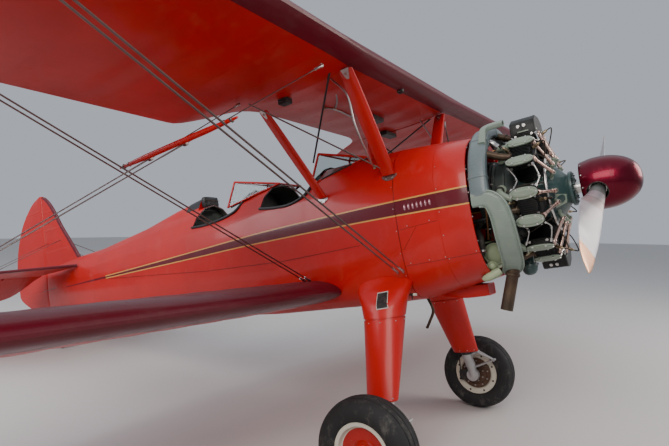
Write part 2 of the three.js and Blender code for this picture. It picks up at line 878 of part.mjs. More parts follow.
// Turned wheel pieces, drawn about x and then laid across the aircraft.
function acrossWheel(profile, sides, side) {
  return turned(profile, sides).rotateZ((side * Math.PI) / 2).translate(wheelX, side * wheelY, wheelZ);
}

const half = wheelWidth / 2;
const wheelSides = 28;

function rim(side) {
  const profile = [
    [-70, axleRadius + gap], [-70, 60], [-80, 155], [-80, rimRadius - gap],
    [80, rimRadius - gap], [80, 158], [50, 150], [40, 70], [78, 55], [78, axleRadius + gap],
  ];
  return acrossWheel([...profile, profile[0]], wheelSides, side);
}

function tyre(side) {
  const profile = [
    [-80, rimRadius], [-half, 225], [-half, 262], [-78, 298], [-30, wheelRadius],
    [30, wheelRadius], [78, 298], [half, 262], [half, 225], [80, rimRadius],
  ];
  return acrossWheel([...profile, profile[0]], wheelSides, side);
}

// Tail wheel, drawn upright about its axle
const tailPivotTop = 245;
const forkRoom = 6;
const forkThickness = 8;
const stemRadius = 16;
const tailPinRadius = 10;
const tailBore = 10.6;

function tailFork() {
  const plateFrom = tailWheelWidth / 2 + forkRoom;
  const plates = [];
  for (const side of [-1, 1]) {
    const low = Math.min(side * plateFrom, side * (plateFrom + forkThickness));
    plates.push(sidePlate([
      [-24, -24], [24, -24], [tailTrail + 30, 150], [tailTrail + 30, 170], [tailTrail - 30, 170],
      [tailTrail - 40, 145],
    ], low, low + forkThickness));
  }
  const crown = block(
    vector(tailTrail - 32, -plateFrom - 4, 150),
    vector(tailTrail + 30, plateFrom + 4, 178),
  );
  const stem = rod(vector(tailTrail, 0, 165), vector(tailTrail, 0, tailPivotTop), stemRadius, 12);
  const pinEnd = plateFrom + 12;
  const pin = rod(vector(0, -pinEnd, 0), vector(0, pinEnd, 0), tailPinRadius, 12);
  return join(...plates, crown, stem, pin);
}

function tailWheel() {
  const w = tailWheelWidth / 2;
  const profile = [
    [-w + 2, tailBore], [-w + 2, 50], [-w, 72], [-w, 100], [-w + 10, 120], [-10, tailWheelRadius],
    [10, tailWheelRadius], [w - 10, 120], [w, 100], [w, 72], [w - 2, 50], [w - 2, tailBore],
  ];
  return turned([...profile, profile[0]], 20).rotateZ(Math.PI / 2);
}

const tailWheelZ = wheelHeight(tailWheelX, tailWheelRadius);

// A point given upright about the tail wheel's axle, in the aircraft's frame.
function fromUpright(x, z) {
  return vector(
    tailWheelX + x * pitchCosine + z * pitchSine,
    0,
    tailWheelZ - x * pitchSine + z * pitchCosine,
  );
}

// Tail strut: radii of the socket, its bore, the arm and the stay, and where the last two start
const socketFoot = 182;
const socketRadius = 30;
const socketBore = 17;
const armTop = vector(-6010, 0, -270);
const armRadius = 34;
const stayTop = vector(-6330, 0, -230);
const stayRadius = 20;

function tailStrut() {
  const socketLow = fromUpright(tailTrail, socketFoot);
  const socketHigh = fromUpright(tailTrail, tailPivotTop + 40);
  const boreLow = socketLow.clone().lerp(fromUpright(tailTrail, 100), 0.5);
  const bore = rod(boreLow, fromUpright(tailTrail, tailPivotTop + 6), socketBore, 12);
  const arm = rod(armTop, fromUpright(tailTrail + 10, 225), armRadius, 10, socketRadius);
  const stay = rod(stayTop, fromUpright(tailTrail, tailPivotTop + 30), stayRadius, 8);
  const whole = join(rod(socketLow, socketHigh, socketRadius, 12), arm, stay);
  return cut(whole, bore, fuselageCutter);
}

// Engine

// The engine's rear flange bolts to the mount's hoop.
const mountFace = -500;
const mountRadius = 276;

// Which cylinders, counted from the top towards starboard, carry the tall box
const tallBoxes = [0, 4];

function aroundEngine(geometry, index) {
  return geometry.rotateX((2 * Math.PI * index) / cylinderCount);
}

function noseCase(margin) {
  return turned([
    [-50 + margin, 0], [-50 + margin, 92 + margin], [-62, 112 + margin], [-74, 112 + margin],
    [-78, 96 + margin], [-110, 112 + margin], [-150, 170 + margin], [-186, 205 + margin],
    [-200, 214 + margin], [-200, 0],
  ], 24);
}

// Oil sump between the lower cylinders
const sumpTop = vector(-405, -10, -230);
const sumpFoot = vector(-405, -50, -455);
const sumpRadius = 38;
const sumpDomeRadius = 42;

function crankcase() {
  const flats = new THREE.CylinderGeometry(1, 1, 170, cylinderCount);
  const corner = crankcaseFlat / Math.cos(Math.PI / cylinderCount);
  flats.scale(corner, 1, corner).rotateZ(Math.PI / 2).rotateX(Math.PI / cylinderCount);
  flats.translate(cylinderPlane, 0, 0);
  const rear = turned([
    [-355, 0], [-355, 212], [-372, 250], [-430, mountRadius], [mountFace + gap, mountRadius],
    [mountFace + gap, 190], [-640, 150], [-640, 0],
  ], 24);
  const dome = new THREE.SphereGeometry(sumpDomeRadius, 10, 6)
    .translate(sumpFoot.x, sumpFoot.y, sumpFoot.z - 28);
  return join(noseCase(0), flats, rear, rod(sumpTop, sumpFoot, sumpRadius, 8), dome);
}

// Cylinder: radius of its core, fins and head, and places along it from the thrust line
const barrelRadius = 66;
const finRadius = 88;
const headRadius = 98;
const cylinderSides = 9;
const headFoot = 386;
const headTop = 438;
const finCount = 4;
const finThickness = 9;
const footRing = [84, 14];

// A shape drawn about x, stood up along z at the cylinders' plane.
function standing(geometry) {
  return geometry.rotateY(-Math.PI / 2).translate(cylinderPlane, 0, 0);
}

function cylinderHead(margin) {
  const profile = [
    [headFoot - margin, 0], [headFoot - margin, headRadius + margin],
    [headTop + margin, headRadius + margin], [headTop + margin, 0],
  ];
  return standing(turned(profile, cylinderSides));
}

function finnedCylinder() {
  const foot = crankcaseFlat + gap;
  const flangeTop = foot + footRing[1];
  const pitch = (headFoot - flangeTop) / (finCount + 0.5);
  const profile = [[foot, 0], [foot, footRing[0]], [flangeTop, footRing[0]]];
  profile.push([flangeTop, barrelRadius]);
  for (let i = 0; i < finCount; i += 1) {
    const fin = flangeTop + pitch * (i + 0.6);
    profile.push([fin, barrelRadius], [fin, finRadius]);
    profile.push([fin + finThickness, finRadius], [fin + finThickness, barrelRadius]);
  }
  profile.push([headFoot, barrelRadius], [headFoot, headRadius]);
  profile.push([headTop, headRadius], [headTop, 0]);
  return standing(turned(profile, cylinderSides));
}

// Rocker boxes: centre along x, distance aside, top, and half sizes of the oval cover
const rockerX = -275;
const rockerAside = 85;
const rockerTop = 435;
const rockerDepth = 60;
const rockerHalf = [85, 38.5];

function rockerBox(side) {
  const outline = new THREE.Shape();
  const straight = rockerHalf[0] - rockerHalf[1];
  outline.absarc(straight, 0, rockerHalf[1], -Math.PI / 2, Math.PI / 2);
  outline.absarc(-straight, 0, rockerHalf[1], Math.PI / 2, (3 * Math.PI) / 2);
  const options = { depth: rockerDepth, bevelEnabled: false, curveSegments: 3 };
  const box = new THREE.ExtrudeGeometry(outline, options);
  return box.translate(rockerX, side * rockerAside, rockerTop - rockerDepth);
}

// The tall box over a cylinder's head: place across and height, for one half
const tallBoxHalf = [[122, 390], [122, 490], [50, 530]];

function tallBox() {
  const outline = [...tallBoxHalf, ...tallBoxHalf.map(([y, z]) => [-y, z]).reverse()];
  const shape = new THREE.Shape(outline.map(([y, z]) => new THREE.Vector2(y, z)));
  const length = 2 * rockerHalf[0];
  const box = new THREE.ExtrudeGeometry(shape, { depth: length, bevelEnabled: false });
  return box.rotateX(Math.PI / 2).rotateZ(Math.PI / 2).translate(rockerX - rockerHalf[0], 0, 0);
}

// Pushrods: x, distance aside and height of the upper end, the guide's top and its foot
const pushrodTop = [-200, 72, 405];
const guideTop = [-132, 36, 215];
const guideFoot = [-160, 30, 160];
const pushrodRadius = 8.5;
const guideRadius = 14;

function pushrod(side) {
  const [top, middle, foot] = [pushrodTop, guideTop, guideFoot].map(([x, y, z]) => (
    vector(x, side * y, z)
  ));
  return join(rod(middle, top, pushrodRadius, 6), rod(foot, middle, guideRadius, 6));
}

// One cylinder, drawn standing up along z: finned barrel, head, boxes and pushrods.
function cylinder(tall) {
  const pieces = [finnedCylinder(), rockerBox(1), rockerBox(-1), pushrod(1), pushrod(-1)];
  if (tall) {
    pieces.push(tallBox());
  }
  return join(...pieces);
}

// The guides end where they meet the nose case.
function engineCylinder(index) {
  return cut(aroundEngine(cylinder(tallBoxes.includes(index)), index), noseCase(gap));
}

// Exhaust collector: a flat duct round the heads, from the port side over the top
const collectorRing = 487;
const collectorThickness = 36;
const bandX = -515;
const bandHalf = 56;
const bandStart = -158;
const bandEnd = 88;
const bandSteps = 18;
const portRadius = 418;
const stubRadius = 22;
const tailPipe = [vector(-462, -218, -440), vector(-550, -250, -707)];
const tailPipeRadius = 39;
const boxRear = rockerX - rockerHalf[0];

// Lower starboard hook of the duct: angle from the top, x, half width, radius, half thickness
const hookPath = [
  [89.8, -566, 46, 487, 36], [90.2, -500, 46, 487, 36], [92, -455, 50, 487, 36],
  [97, -425, 58, 487, 36], [104, -412, 60, 487, 36], [113, -411, 62, 487, 36],
  [127, -420, 63, 487, 36], [142, -437, 60, 487, 36], [151, -462, 56, 487, 36],
  [160, -508, 48, 487, 34],
];

// Cooling duct on the band, whose end looks forward, in the same columns
const topDuctPath = [
  [47, -480, 22, 520, 16], [36, -474, 22, 548, 18], [31.5, -456, 22, 550, 18],
  [30, -420, 22, 550, 18], [30.5, -352, 22, 550, 18],
];

// A flat duct along a path drawn on the unrolled ring.
function duct(path) {
  const points = path.map(([degrees, x]) => (
    new THREE.Vector2(x, THREE.MathUtils.degToRad(degrees) * collectorRing)
  ));
  const rings = path.map(([, , halfWidth, radius, halfThick], i) => {
    const before = points[Math.max(i - 1, 0)];
    const after = points[Math.min(i + 1, points.length - 1)];
    const along = new THREE.Vector2().subVectors(after, before).normalize();
    const corners = [
      [1, 0.6], [0.8, 1], [-0.8, 1], [-1, 0.6], [-1, -0.6], [-0.8, -1], [0.8, -1], [1, -0.6],
    ];
    return corners.map(([across, out]) => {
      const x = points[i].x - along.y * halfWidth * across;
      const around = (points[i].y + along.x * halfWidth * across) / collectorRing;
      const from = radius + halfThick * out;
      return vector(x, -from * Math.sin(around), from * Math.cos(around));
    });
  });
  return loft(rings);
}

function collector() {
  const bandPath = [];
  for (let i = 0; i <= bandSteps; i += 1) {
    const degrees = bandStart + ((bandEnd - bandStart) * i) / bandSteps;
    bandPath.push([degrees, bandX, bandHalf, collectorRing, collectorThickness]);
  }
  const pipe = rod(tailPipe[0], tailPipe[1], tailPipeRadius, 14);
  const boxSpace = block(vector(boxRear - gap, -200, headFoot), vector(cylinderPlane, 200, 600));
  const stubs = [];
  for (let i = 0; i < cylinderCount; i += 1) {
    const whole = rod(
      vector(cylinderPlane - 60, 0, portRadius - 14),
      vector(bandX + bandHalf - 10, 0, portRadius + 50),
      stubRadius,
      6,
    );
    stubs.push(aroundEngine(cut(whole, cylinderHead(gap), boxSpace), i));
  }
  return join(duct(bandPath), duct(hookPath), duct(topDuctPath), pipe, ...stubs);
}

// Engine mount: bulkhead, hoop, and the tubes from the hoop to half this wide and high on it
const bulkheadThickness = 14;
const hoopWidth = 25;
const hoopHalf = 14;
const mountTubes = 8;
const mountTubeRadius = 16;
const bulkheadReach = [340, 380];

function engineMount() {
  const plate = block(
    vector(firewall + gap, -pastSide, -pastSide - 50),
    vector(firewall + bulkheadThickness, pastSide, pastSide),
  );
  const wall = common(plate, fuselageLoft(noseFront, firewall - 5, -cowlThickness - gap));
  const hoop = turned([
    [mountFace, mountRadius + hoopHalf], [mountFace - hoopWidth, mountRadius + hoopHalf],
    [mountFace - hoopWidth, mountRadius - hoopHalf], [mountFace, mountRadius - hoopHalf],
    [mountFace, mountRadius + hoopHalf],
  ], 16);
  const pieces = [wall, hoop];
  const [wide, high] = bulkheadReach;
  for (let i = 0; i < mountTubes; i += 1) {
    const angle = (Math.PI * (2 * i + 1)) / mountTubes;
    const [aside, up] = [Math.sin(angle), Math.cos(angle)];
    const from = vector(mountFace - hoopWidth / 2, mountRadius * aside, mountRadius * up);
    const to = vector(firewall + 8, wide * aside, high * up);
    pieces.push(rod(from, to, mountTubeRadius, 5));
  }
  return join(...pieces);
}

// Side view of the intake scoop under the nose, and of its mouth
const scoopOutline = [
  [-700, -470], [-700, -535], [-711, -617], [-860, -619], [-960, -606], [-1040, -585],
  [-1060, -480],
];
const scoopMouth = [[-640, -546], [-640, -605], [-860, -607], [-860, -530]];
const scoopHalf = 75;

function airScoop() {
  const outer = sidePlate(scoopOutline, -scoopHalf, scoopHalf);
  const mouth = sidePlate(scoopMouth, -scoopHalf + cowlThickness, scoopHalf - cowlThickness);
  return cut(cut(outer, mouth), fuselageCutter);
}

// Propeller

const spinnerPlate = 6;
const spinnerShell = 10;
const spinnerRear = 150;
const noseStart = 110;
const bladeHole = 58;
const shaftRadius = 38;
const shaftFront = 30;

function spinnerProfile(margin) {
  const profile = [[0, 0], [0, spinnerRear - margin], [70, spinnerRadius - margin]];
  for (let i = 1; i < 5; i += 1) {
    const angle = (Math.PI / 2) * (i / 5);
    const x = noseStart + (spinnerLength - margin - noseStart) * Math.sin(angle);
    profile.push([x, (spinnerRadius - margin) * Math.cos(angle) ** 0.85]);
  }
  profile.push([spinnerLength - margin, 0]);
  return profile;
}

function alongBlades(geometry) {
  return geometry.rotateX(bladeAngle);
}

function spinner() {
  const shell = turned(spinnerProfile(0), 24);
  const hollow = turned(spinnerProfile(spinnerShell), 12).translate(spinnerPlate, 0, 0);
  const [below, above] = [-2, 2].map((part) => vector(propellerX, 0, part * spinnerRadius));
  const holes = alongBlades(rod(below, above, bladeHole, 16));
  const shaft = rod(vector(-50, 0, 0), vector(20, 0, 0), shaftRadius + gap, 16);
  return cut(shell, hollow, holes, shaft);
}

// Blade sections: distance from the hub, reach ahead of and behind the blade's own axis,
// thickness, pitch angle in degrees
const bladeStations = [
  [0, 45, 45, 84, 62], [150, 44, 46, 78, 62], [260, 45, 56, 46, 52], [420, 45, 91, 30, 42],
  [650, 49, 109, 22, 32], [900, 43, 103, 16, 25], [1080, 30, 86, 12, 21], [1180, 20, 58, 9, 19],
  [1222, 9, 23, 7, 18], [propellerRadius, 3, 6, 5, 18],
];

// Each blade is the other one turned half way round the shaft.
function bladeRing([along, ahead, behind, thickness, pitch], side) {
  const points = [];
  const turn = THREE.MathUtils.degToRad(pitch);
  for (let i = 0; i < 10; i += 1) {
    const angle = (2 * Math.PI * i) / 10;
    const across = (ahead - behind) / 2 + ((ahead + behind) / 2) * Math.cos(angle);
    const thick = (thickness / 2) * Math.sin(angle);
    const x = propellerX + across * Math.sin(turn) + thick * Math.cos(turn);
    const y = -side * (across * Math.cos(turn) - thick * Math.sin(turn));
    points.push(vector(x, y, side * along));
  }
  return points;
}

function propeller() {
  const blades = [1, -1].map((side) => (
    loft(bladeStations.map((station) => bladeRing(station, side)))
  ));
  const hub = turned([
    [spinnerPlate + gap, 0], [spinnerPlate + gap, 62], [30, 62], [34, 70], [140, 70],
    [150, 50], [150, 0],
  ], 18);
  const shaft = rod(vector(-50 + gap, 0, 0), vector(shaftFront, 0, 0), shaftRadius, 16);
  return join(alongBlades(join(...blades)), hub, shaft);
}

// Assembly

function material(color, roughness, metalness) {
  return new THREE.MeshStandardMaterial({ color, roughness, metalness });
}

const paint = material(red, 0.35, 0.1);
const trim = material(maroon, 0.3, 0.4);
const casting = material(greyGreen, 0.5, 0.5);
const ironwork = material(black, 0.6, 0.3);
const rubber = material(0x17171a, 0.85, 0);
const rimPaint = material(cream, 0.45, 0.1);
const bright = material(silver, 0.3, 0.9);
const leather = material(0x15161c, 0.6, 0);

const aircraft = new THREE.Group();

function add(name, geometry, finish, parent = aircraft) {
  const mesh = new THREE.Mesh(geometry, finish);
  mesh.name = name;
  parent.add(mesh);
  return mesh;
}

add('nose_cowl', noseCowl(), paint);
add('forward_fuselage', cockpitSection(firewall, frontDeckEnd), paint);
add('front_cockpit_section', cockpitSection(frontDeckEnd, betweenCockpits), paint);
add('rear_cockpit_section', cockpitSection(betweenCockpits, cockpitRear), paint);
add('rear_fuselage', rearFuselage(), paint);
add('cockpit_floor', cockpitFloor(), casting);
add('front_instrument_panel', instrumentPanel(-1776), ironwork);
add('rear_instrument_panel', instrumentPanel(-2622), ironwork);
add('front_seat', seat(-2330), casting);
add('rear_seat', seat(-3230), casting);
add('front_windscreen', windscreen(frontScreen), trim);
add('rear_windscreen', windscreen(rearScreen), trim);
add('headrest', headrest(), leather);
add('upper_wing_center', centreWing(), paint);
add('fin', fin(), paint);
add('rudder', rudder(), paint);
add('engine_mount', engineMount(), ironwork);
add('air_scoop', airScoop(), paint);
add('crankcase', crankcase(), casting);
for (let i = 0; i < cylinderCount; i += 1) {
  add(`engine_cylinder_${i + 1}`, engineCylinder(i), ironwork);
}
add('exhaust_collector', collector(), casting);
add('propeller_spinner', spinner(), trim);
add('propeller_blades', propeller(), bright);
add('tail_wheel_strut', tailStrut(), paint);

const tailGroup = new THREE.Group();
tailGroup.position.set(tailWheelX, 0, tailWheelZ);
tailGroup.rotation.y = parkedPitch;
aircraft.add(tailGroup);
add('tail_wheel_fork', tailFork(), bright, tailGroup);
add('tail_wheel', tailWheel(), rubber, tailGroup);

for (const [word, side] of [['left', 1], ['right', -1]]) {
  add(`upper_wing_${word}`, upperWing(side), paint);
  add(`lower_wing_${word}`, lowerWing(side), trim);
  add(`aileron_${word}`, aileron(side), paint);
  add(`interplane_strut_${word}`, interplaneStrut(side), paint);
  const [front, rear] = cabane(side);
  add(`cabane_front_strut_${word}`, front, paint);
  add(`cabane_rear_strut_${word}`, rear, paint);
  add(`bracing_${word}`, bracing(side), bright);
  add(`stabilizer_${word}`, stabilizer(side), paint);
  const flap = add(`elevator_${word}`, elevator(side), paint);
  flap.position.set(elevatorHinge, 0, stabilizerHeight);
  flap.rotation.y = -elevatorDroop;
  add(`landing_gear_leg_${word}`, legFairing(side), paint);
  add(`landing_gear_axle_${word}`, axle(side), bright);
  add(`wheel_rim_${word}`, rim(side), rimPaint);
  add(`tyre_${word}`, tyre(side), rubber);
}

// The origin is on the ground under the middle of the aircraft's length.
aircraft.rotation.y = -parkedPitch;
aircraft.updateMatrixWorld(true);
const reach = new THREE.Box3().setFromObject(aircraft, true);
aircraft.position.set(-(reach.min.x + reach.max.x) / 2, 0, -reach.min.z);

export default aircraft;
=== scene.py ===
import json
import math
from math import copysign, cos, pi, sin

import bmesh
import bpy
import numpy as np
from mathutils import Matrix, Vector


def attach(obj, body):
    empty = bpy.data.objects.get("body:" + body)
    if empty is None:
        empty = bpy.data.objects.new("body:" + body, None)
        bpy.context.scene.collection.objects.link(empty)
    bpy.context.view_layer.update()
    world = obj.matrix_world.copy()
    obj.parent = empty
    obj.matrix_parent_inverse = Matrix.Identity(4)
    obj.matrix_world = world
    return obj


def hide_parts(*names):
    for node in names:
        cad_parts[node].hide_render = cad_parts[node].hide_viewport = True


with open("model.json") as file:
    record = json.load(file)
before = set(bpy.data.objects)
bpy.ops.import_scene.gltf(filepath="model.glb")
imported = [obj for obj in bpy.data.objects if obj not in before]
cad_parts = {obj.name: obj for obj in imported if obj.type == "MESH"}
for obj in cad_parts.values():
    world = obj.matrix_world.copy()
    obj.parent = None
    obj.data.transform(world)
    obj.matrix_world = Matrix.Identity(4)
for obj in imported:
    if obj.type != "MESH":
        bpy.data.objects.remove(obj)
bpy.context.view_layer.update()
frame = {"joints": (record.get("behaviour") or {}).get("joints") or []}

# Nose cowl
# A ring of rolled aluminium sheet between the firewall and the engine, held by a row of screws at
# each joint. Every piece is drawn level, in metres from the centre of the spinner's rear face with
# x forward and y to port, and is then set to the stance of the parked aircraft.

spin_joint = next(j for j in frame["joints"] if j["name"] == "propeller_spin")
nose_up = math.asin(spin_joint["axis"][2])
hub = Vector(spin_joint["pos_m"])
stance = Matrix.Translation(hub) @ Matrix.Rotation(-nose_up, 4, "Y")

cowl_front, firewall, cockpit_rear, stern_post = -0.608, -1.13, -3.4, -6.56

# x, half width, top, bottom, height of the greatest width, squareness above it and below it
fuselage_stations = np.array([
    [-0.608, 0.440, 0.478, -0.500, -0.020, 2.4, 2.7],
    [-0.850, 0.443, 0.510, -0.545, -0.025, 2.4, 2.9],
    [-1.130, 0.440, 0.538, -0.592, -0.030, 2.4, 3.2],
    [-1.700, 0.425, 0.562, -0.600, -0.040, 2.3, 3.6],
    [-2.500, 0.410, 0.560, -0.590, -0.040, 2.2, 3.6],
    [-3.400, 0.372, 0.560, -0.545, -0.010, 1.9, 3.2],
    [-4.360, 0.300, 0.510, -0.462, 0.010, 1.8, 2.8],
    [-5.200, 0.222, 0.420, -0.388, 0.030, 1.9, 2.6],
    [-5.900, 0.145, 0.398, -0.325, 0.050, 2.0, 2.4],
    [-6.560, 0.040, 0.345, -0.266, 0.050, 2.2, 2.4],
])[::-1]
stringer_count = 18
points_per_bay = 6


def looked_up(table, x):
    """Every column of a table but the first, at a value of its first column."""
    return [np.interp(x, table[:, 0], table[:, k]) for k in range(1, table.shape[1])]


def section_at(x):
    return looked_up(fuselage_stations, x)


def turns(count, start=0.0):
    """The cosine and sine of angles spread evenly round a circle."""
    return [(cos(a), sin(a)) for a in (start + 2 * pi * k / count for k in range(count))]


def bent(value, power):
    """A power of a number that keeps its sign."""
    return copysign(abs(value) ** power, value)


def fuselage_point(x, angle, margin=0.0):
    half_width, top, bottom, middle, square_top, square_bottom = section_at(x)
    up = sin(angle)
    power = 2 / (square_top if up >= 0 else square_bottom)
    height = top - middle + margin if up >= 0 else middle - bottom + margin
    return Vector((x, (half_width + margin) * bent(cos(angle), power),
                   middle + height * bent(up, power)))


def fuselage_ring(x, margin=0.0, flatness=0.0):
    """The cross-section at x. Flatness draws the skin tight between the stringers, as fabric is."""
    knots = [fuselage_point(x, 2 * pi * (k + 0.5) / stringer_count, margin)
             for k in range(stringer_count)]
    ring = []
    for k in range(stringer_count):
        for j in range(points_per_bay):
            part = j / points_per_bay
            round_point = fuselage_point(x, 2 * pi * (k + 0.5 + part) / stringer_count, margin)
            flat_point = knots[k].lerp(knots[(k + 1) % stringer_count], part)
            ring.append(round_point.lerp(flat_point, flatness))
    return ring


def flatness_at(x):
    return 0.8 * min(1.0, max(0.0, (-1.35 - x) / 0.5))


def side_point(x, z, side=-1):
    """The point of the skin at a height."""
    half_width, top, bottom, middle, square_top, square_bottom = section_at(x)
    if z >= middle:
        share, square = (z - middle) / (top - middle), square_top
    else:
        share, square = (middle - z) / (middle - bottom), square_bottom
    y = half_width * max(0.0, 1 - min(1.0, share) ** square) ** (1 / square)
    return Vector((x, side * y, z))


def side_facing(x, z, side=-1):
    """The way the skin faces there."""
    step = 0.01
    along = side_point(x + step, z, side) - side_point(x - step, z, side)
    up = side_point(x, z + step, side) - side_point(x, z - step, side)
    facing = along.cross(up).normalized()
    return facing if facing.y * side > 0 else -facing


def join(*shapes):
    """One shape, a list of corners and a list of faces, from several."""
    corners, faces = [], []
    for shape_corners, shape_faces in shapes:
        first = len(corners)
        corners.extend(shape_corners)
        faces.extend([[first + i for i in face] for face in shape_faces])
    return corners, faces


def loft(rings, caps=True):
    """A skin over closed rings of equal length."""
    count = len(rings[0])
    corners = [tuple(point) for ring in rings for point in ring]
    faces = []
    for a in range(0, (len(rings) - 1) * count, count):
        for j in range(count):
            k, b = (j + 1) % count, a + count
            faces.append([a + j, a + k, b + k, b + j])
    if caps:
        faces.append(list(range(count))[::-1])
        faces.append([(len(rings) - 1) * count + j for j in range(count)])
    return corners, faces


def slab(outline, *places):
    """An outline of (x, z) pairs, given its thickness between places across the aircraft."""
    return loft([[(x, y, z) for x, z in outline] for y in places])


def to_mesh(name, shape, uv=None, place=stance):
    """A mesh of one shape or of a list of them, with its faces outwards."""
    corners, faces = join(*shape) if isinstance(shape, list) else shape
    mesh = bpy.data.meshes.new(name)
    mesh.from_pydata([tuple(point) for point in corners], [], faces)
    if uv:
        layer = mesh.uv_layers.new(name="place")
        for loop in mesh.loops:
            layer.data[loop.index].uv = uv(Vector(corners[loop.vertex_index]))
    mesh.transform(place)
    work = bmesh.new()
    work.from_mesh(mesh)
    bmesh.ops.recalc_face_normals(work, faces=work.faces)
    work.to_mesh(mesh)
    work.free()
    return mesh


def scene_object(name, mesh):
    piece = bpy.data.objects.new(name, mesh)
    bpy.context.scene.collection.objects.link(piece)
    return piece


def mount(name, shape, material, slot, body="airframe", replaces="", sharp=32, uv=None,
          place=stance):
    """Gives a mesh or some shapes their material and smooth shading, and fixes them to a body."""
    mesh = shape if isinstance(shape, bpy.types.Mesh) else to_mesh(name, shape, uv, place)
    mesh.shade_smooth()
    mesh.set_sharp_from_angle(angle=math.radians(sharp))
    mesh.materials.clear()
    mesh.materials.append(material)
    piece = scene_object(name, mesh)
    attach(piece, body)
    if replaces:
        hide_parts(*replaces.split())
    return piece


def finished(piece):
    """The plain mesh that an object's modifiers make of it."""
    bpy.context.view_layer.update()
    seen = piece.evaluated_get(bpy.context.evaluated_depsgraph_get())
    return bpy.data.meshes.new_from_object(seen)


def carved(mesh, cutters):
    """The mesh with the cutters' shapes taken away."""
    block = scene_object("block", mesh)
    tools = [scene_object("tool", cutter) for cutter in cutters]
    for tool in tools:
        cut = block.modifiers.new("cut", "BOOLEAN")
        cut.operation, cut.solver, cut.object = "DIFFERENCE", "EXACT", tool
    result = finished(block)
    for used in [block, *tools]:
        bpy.data.objects.remove(used)
    return result


def node_tree(name, kind, given, made):
    """A new node group with its sockets, and short names for adding and joining its nodes."""
    tree = bpy.data.node_groups.new(name, kind)
    for way, sockets in (("INPUT", given), ("OUTPUT", made)):
        for label, socket in sockets:
            tree.interface.new_socket(label, in_out=way, socket_type="NodeSocket" + socket)
    new, link = tree.nodes.new, tree.links.new
    return tree, new, link, new("NodeGroupInput").outputs, new("NodeGroupOutput").inputs


# How paint ages: slow changes of tone, settled dust, fine scratches and grain, as masks. Each row
# is the noise's scale, detail, roughness and stretch, and its lowest and highest value.
weather_masks = {
    "Mottle": (2.3, 4.0, 0.55, (1, 1, 1), 0.35, 0.68),
    "Dust": (9.0, 9.0, 0.72, (1, 1, 0.6), 0.52, 0.80),
    "Scratches": (38.0, 5.0, 0.6, (0.05, 1, 1), 0.63, 0.74),
    "Grain": (320.0, 3.0, 0.6, (1, 1, 1), 0.25, 0.75),
}
weathering, new, link, given, out = node_tree(
    "weathering", "ShaderNodeTree", [("Scale", "Float")],
    [(name, "Float") for name in weather_masks])
scaled = new("ShaderNodeVectorMath")
scaled.operation = "SCALE"
link(new("ShaderNodeTexCoord").outputs["Object"], scaled.inputs[0])
link(given["Scale"], scaled.inputs["Scale"])
for name, (size, detail, rough, stretch, low, high) in weather_masks.items():
    stretched = new("ShaderNodeVectorMath")
    stretched.operation = "MULTIPLY"
    stretched.inputs[1].default_value = stretch
    link(scaled.outputs[0], stretched.inputs[0])
    noise, spread = new("ShaderNodeTexNoise"), new("ShaderNodeMapRange")
    for node, values in ((noise, {"Scale": size, "Detail": detail, "Roughness": rough}),
                         (spread, {"From Min": low, "From Max": high})):
        for label, value in values.items():
            node.inputs[label].default_value = value
    link(stretched.outputs[0], noise.inputs["Vector"])
    link(noise.outputs[0], spread.inputs["Value"])
    link(spread.outputs[0], out[name])


